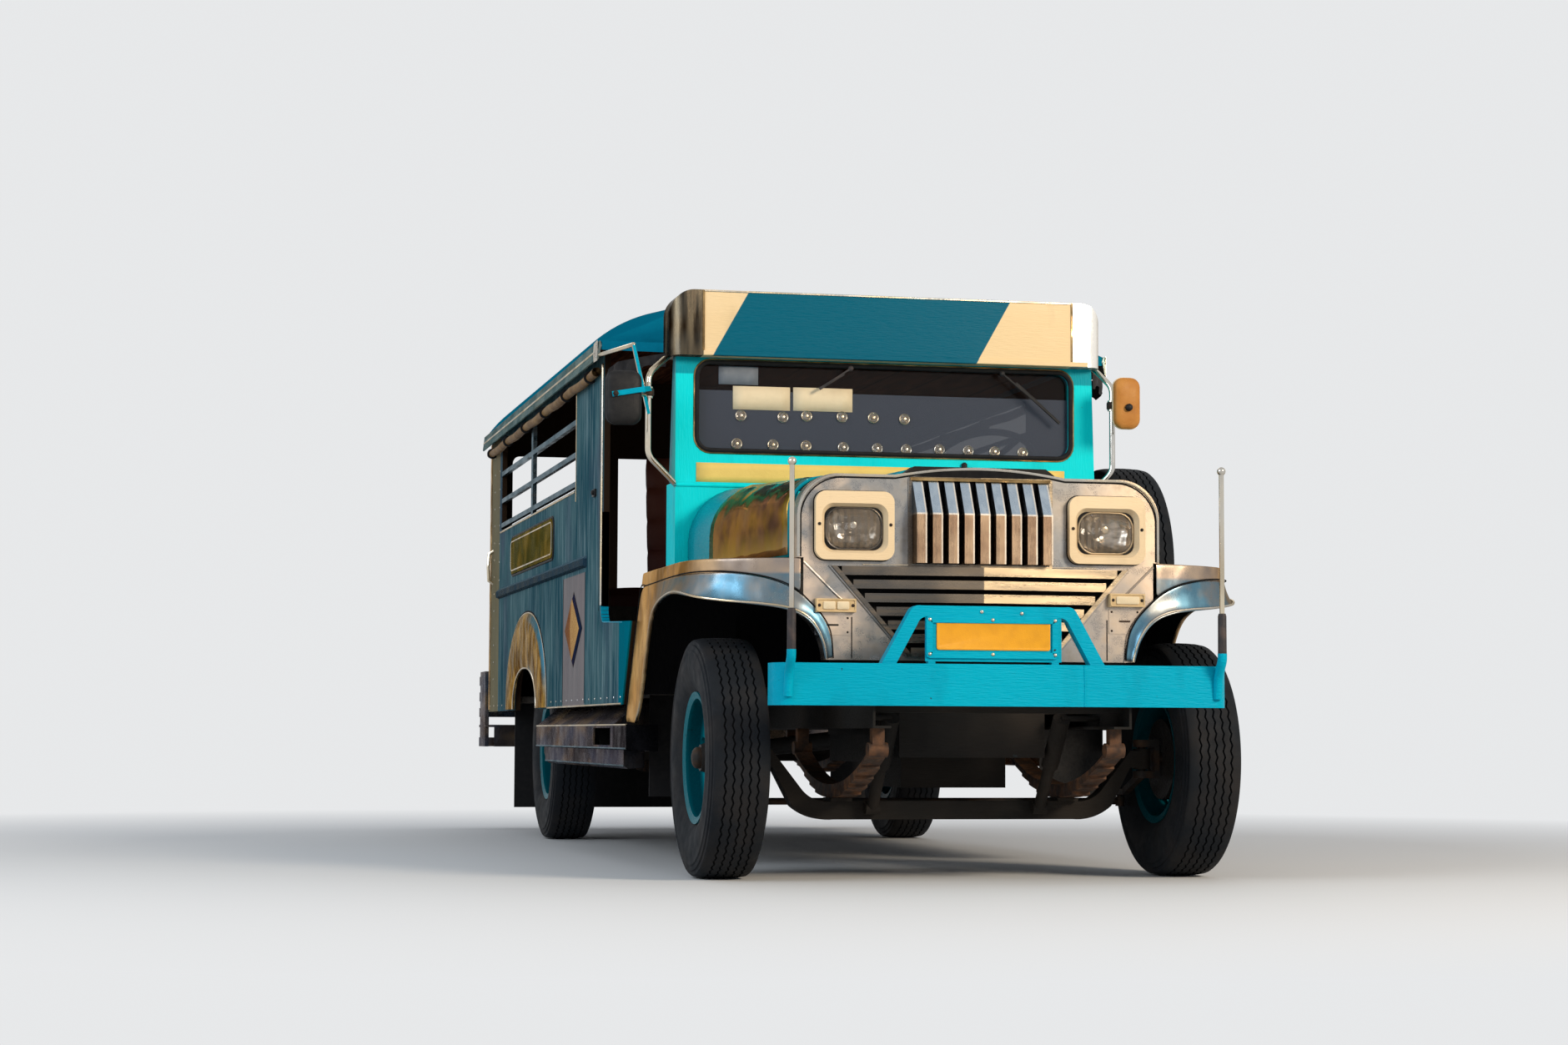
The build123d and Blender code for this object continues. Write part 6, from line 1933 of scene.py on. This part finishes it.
# %% Stage and lamps
BACKGROUND = (0.80, 0.81, 0.82)
FLOOR_TONE = (0.66, 0.66, 0.66)
SKY_LIGHT, SKY_STRENGTH = (0.86, 0.92, 1.0), 0.42
FLOOR_RADIUS = 120
FADE_FROM, FADE_TO = 2.9, 6.6


def seen_directly(tree):
    """1 for camera, glossy and transmission rays."""
    rays = tree.nodes.new("ShaderNodeLightPath")
    total = rays.outputs["Is Camera Ray"]
    for name in ("Is Glossy Ray", "Is Transmission Ray"):
        add = tree.nodes.new("ShaderNodeMath")
        add.operation = "ADD"
        add.use_clamp = True
        tree.links.new(total, add.inputs[0])
        tree.links.new(rays.outputs[name], add.inputs[1])
        total = add.outputs["Value"]
    return total


def floor_material():
    made = start_material("studio_floor", FLOOR_TONE, 0.7, gloss=0.1)
    tree = made.node_tree.nodes
    x, y, _ = axis_values(made)
    far = remap(made, distance(made, x, y), FADE_FROM, FADE_TO)
    glow = tree.new("ShaderNodeEmission")
    glow.inputs["Color"].default_value = (*BACKGROUND, 1)
    blend_shaders = tree.new("ShaderNodeMixShader")
    join(made, times(made, far, seen_directly(made.node_tree)), blend_shaders.inputs["Fac"])
    join(made, shader_of(made).outputs["BSDF"], blend_shaders.inputs[1])
    join(made, glow.outputs["Emission"], blend_shaders.inputs[2])
    join(made, blend_shaders.outputs["Shader"], tree["Material Output"].inputs["Surface"])
    return made


def studio_floor():
    bm = bmesh.new()
    bmesh.ops.create_circle(bm, cap_ends=True, segments=96, radius=FLOOR_RADIUS)
    mesh = bpy.data.meshes.new("studio_floor")
    bm.to_mesh(mesh)
    bm.free()
    mesh.materials.append(floor_material())
    made = bpy.data.objects.new("studio_floor", mesh)
    bpy.context.scene.collection.objects.link(made)


def studio_world():
    world = bpy.data.worlds.new("studio")
    world.use_nodes = True
    bpy.context.scene.world = world
    tree = world.node_tree
    tree.nodes.clear()
    chosen = tree.nodes.new("ShaderNodeMixShader")
    tree.links.new(seen_directly(tree), chosen.inputs["Fac"])
    for socket, colour, strength in ((1, SKY_LIGHT, SKY_STRENGTH), (2, BACKGROUND, 1)):
        light = tree.nodes.new("ShaderNodeBackground")
        light.inputs["Color"].default_value = (*colour, 1)
        light.inputs["Strength"].default_value = strength
        tree.links.new(light.outputs["Background"], chosen.inputs[socket])
    output = tree.nodes.new("ShaderNodeOutputWorld")
    tree.links.new(chosen.outputs["Shader"], output.inputs["Surface"])


def lamp(name, place, target, size, power, colour):
    data = bpy.data.lights.new(name, "AREA")
    data.shape = "RECTANGLE"
    data.size, data.size_y = size
    data.energy = power
    data.color = colour
    made = bpy.data.objects.new(name, data)
    made.location = place
    made.rotation_euler = (Vector(target) - Vector(place)).to_track_quat("-Z", "Y").to_euler()
    bpy.context.scene.collection.objects.link(made)


studio_floor()
studio_world()
lamp("key", at(5.4, -8.0, 5.0), at(0, 0.2, 1.1), (3, 2.4), 960, (1.0, 0.86, 0.68))
lamp("fill", at(-7.0, -3.0, 4.5), at(0, 1.5, 1.0), (5, 4), 300, (0.85, 0.93, 1.0))
lamp("back", at(0.0, 9.5, 6.0), at(0, 3.0, 1.5), (6, 3), 150, (0.95, 0.97, 1.0))

# %% Set the view transform
bpy.context.scene.view_settings.view_transform = "Standard"
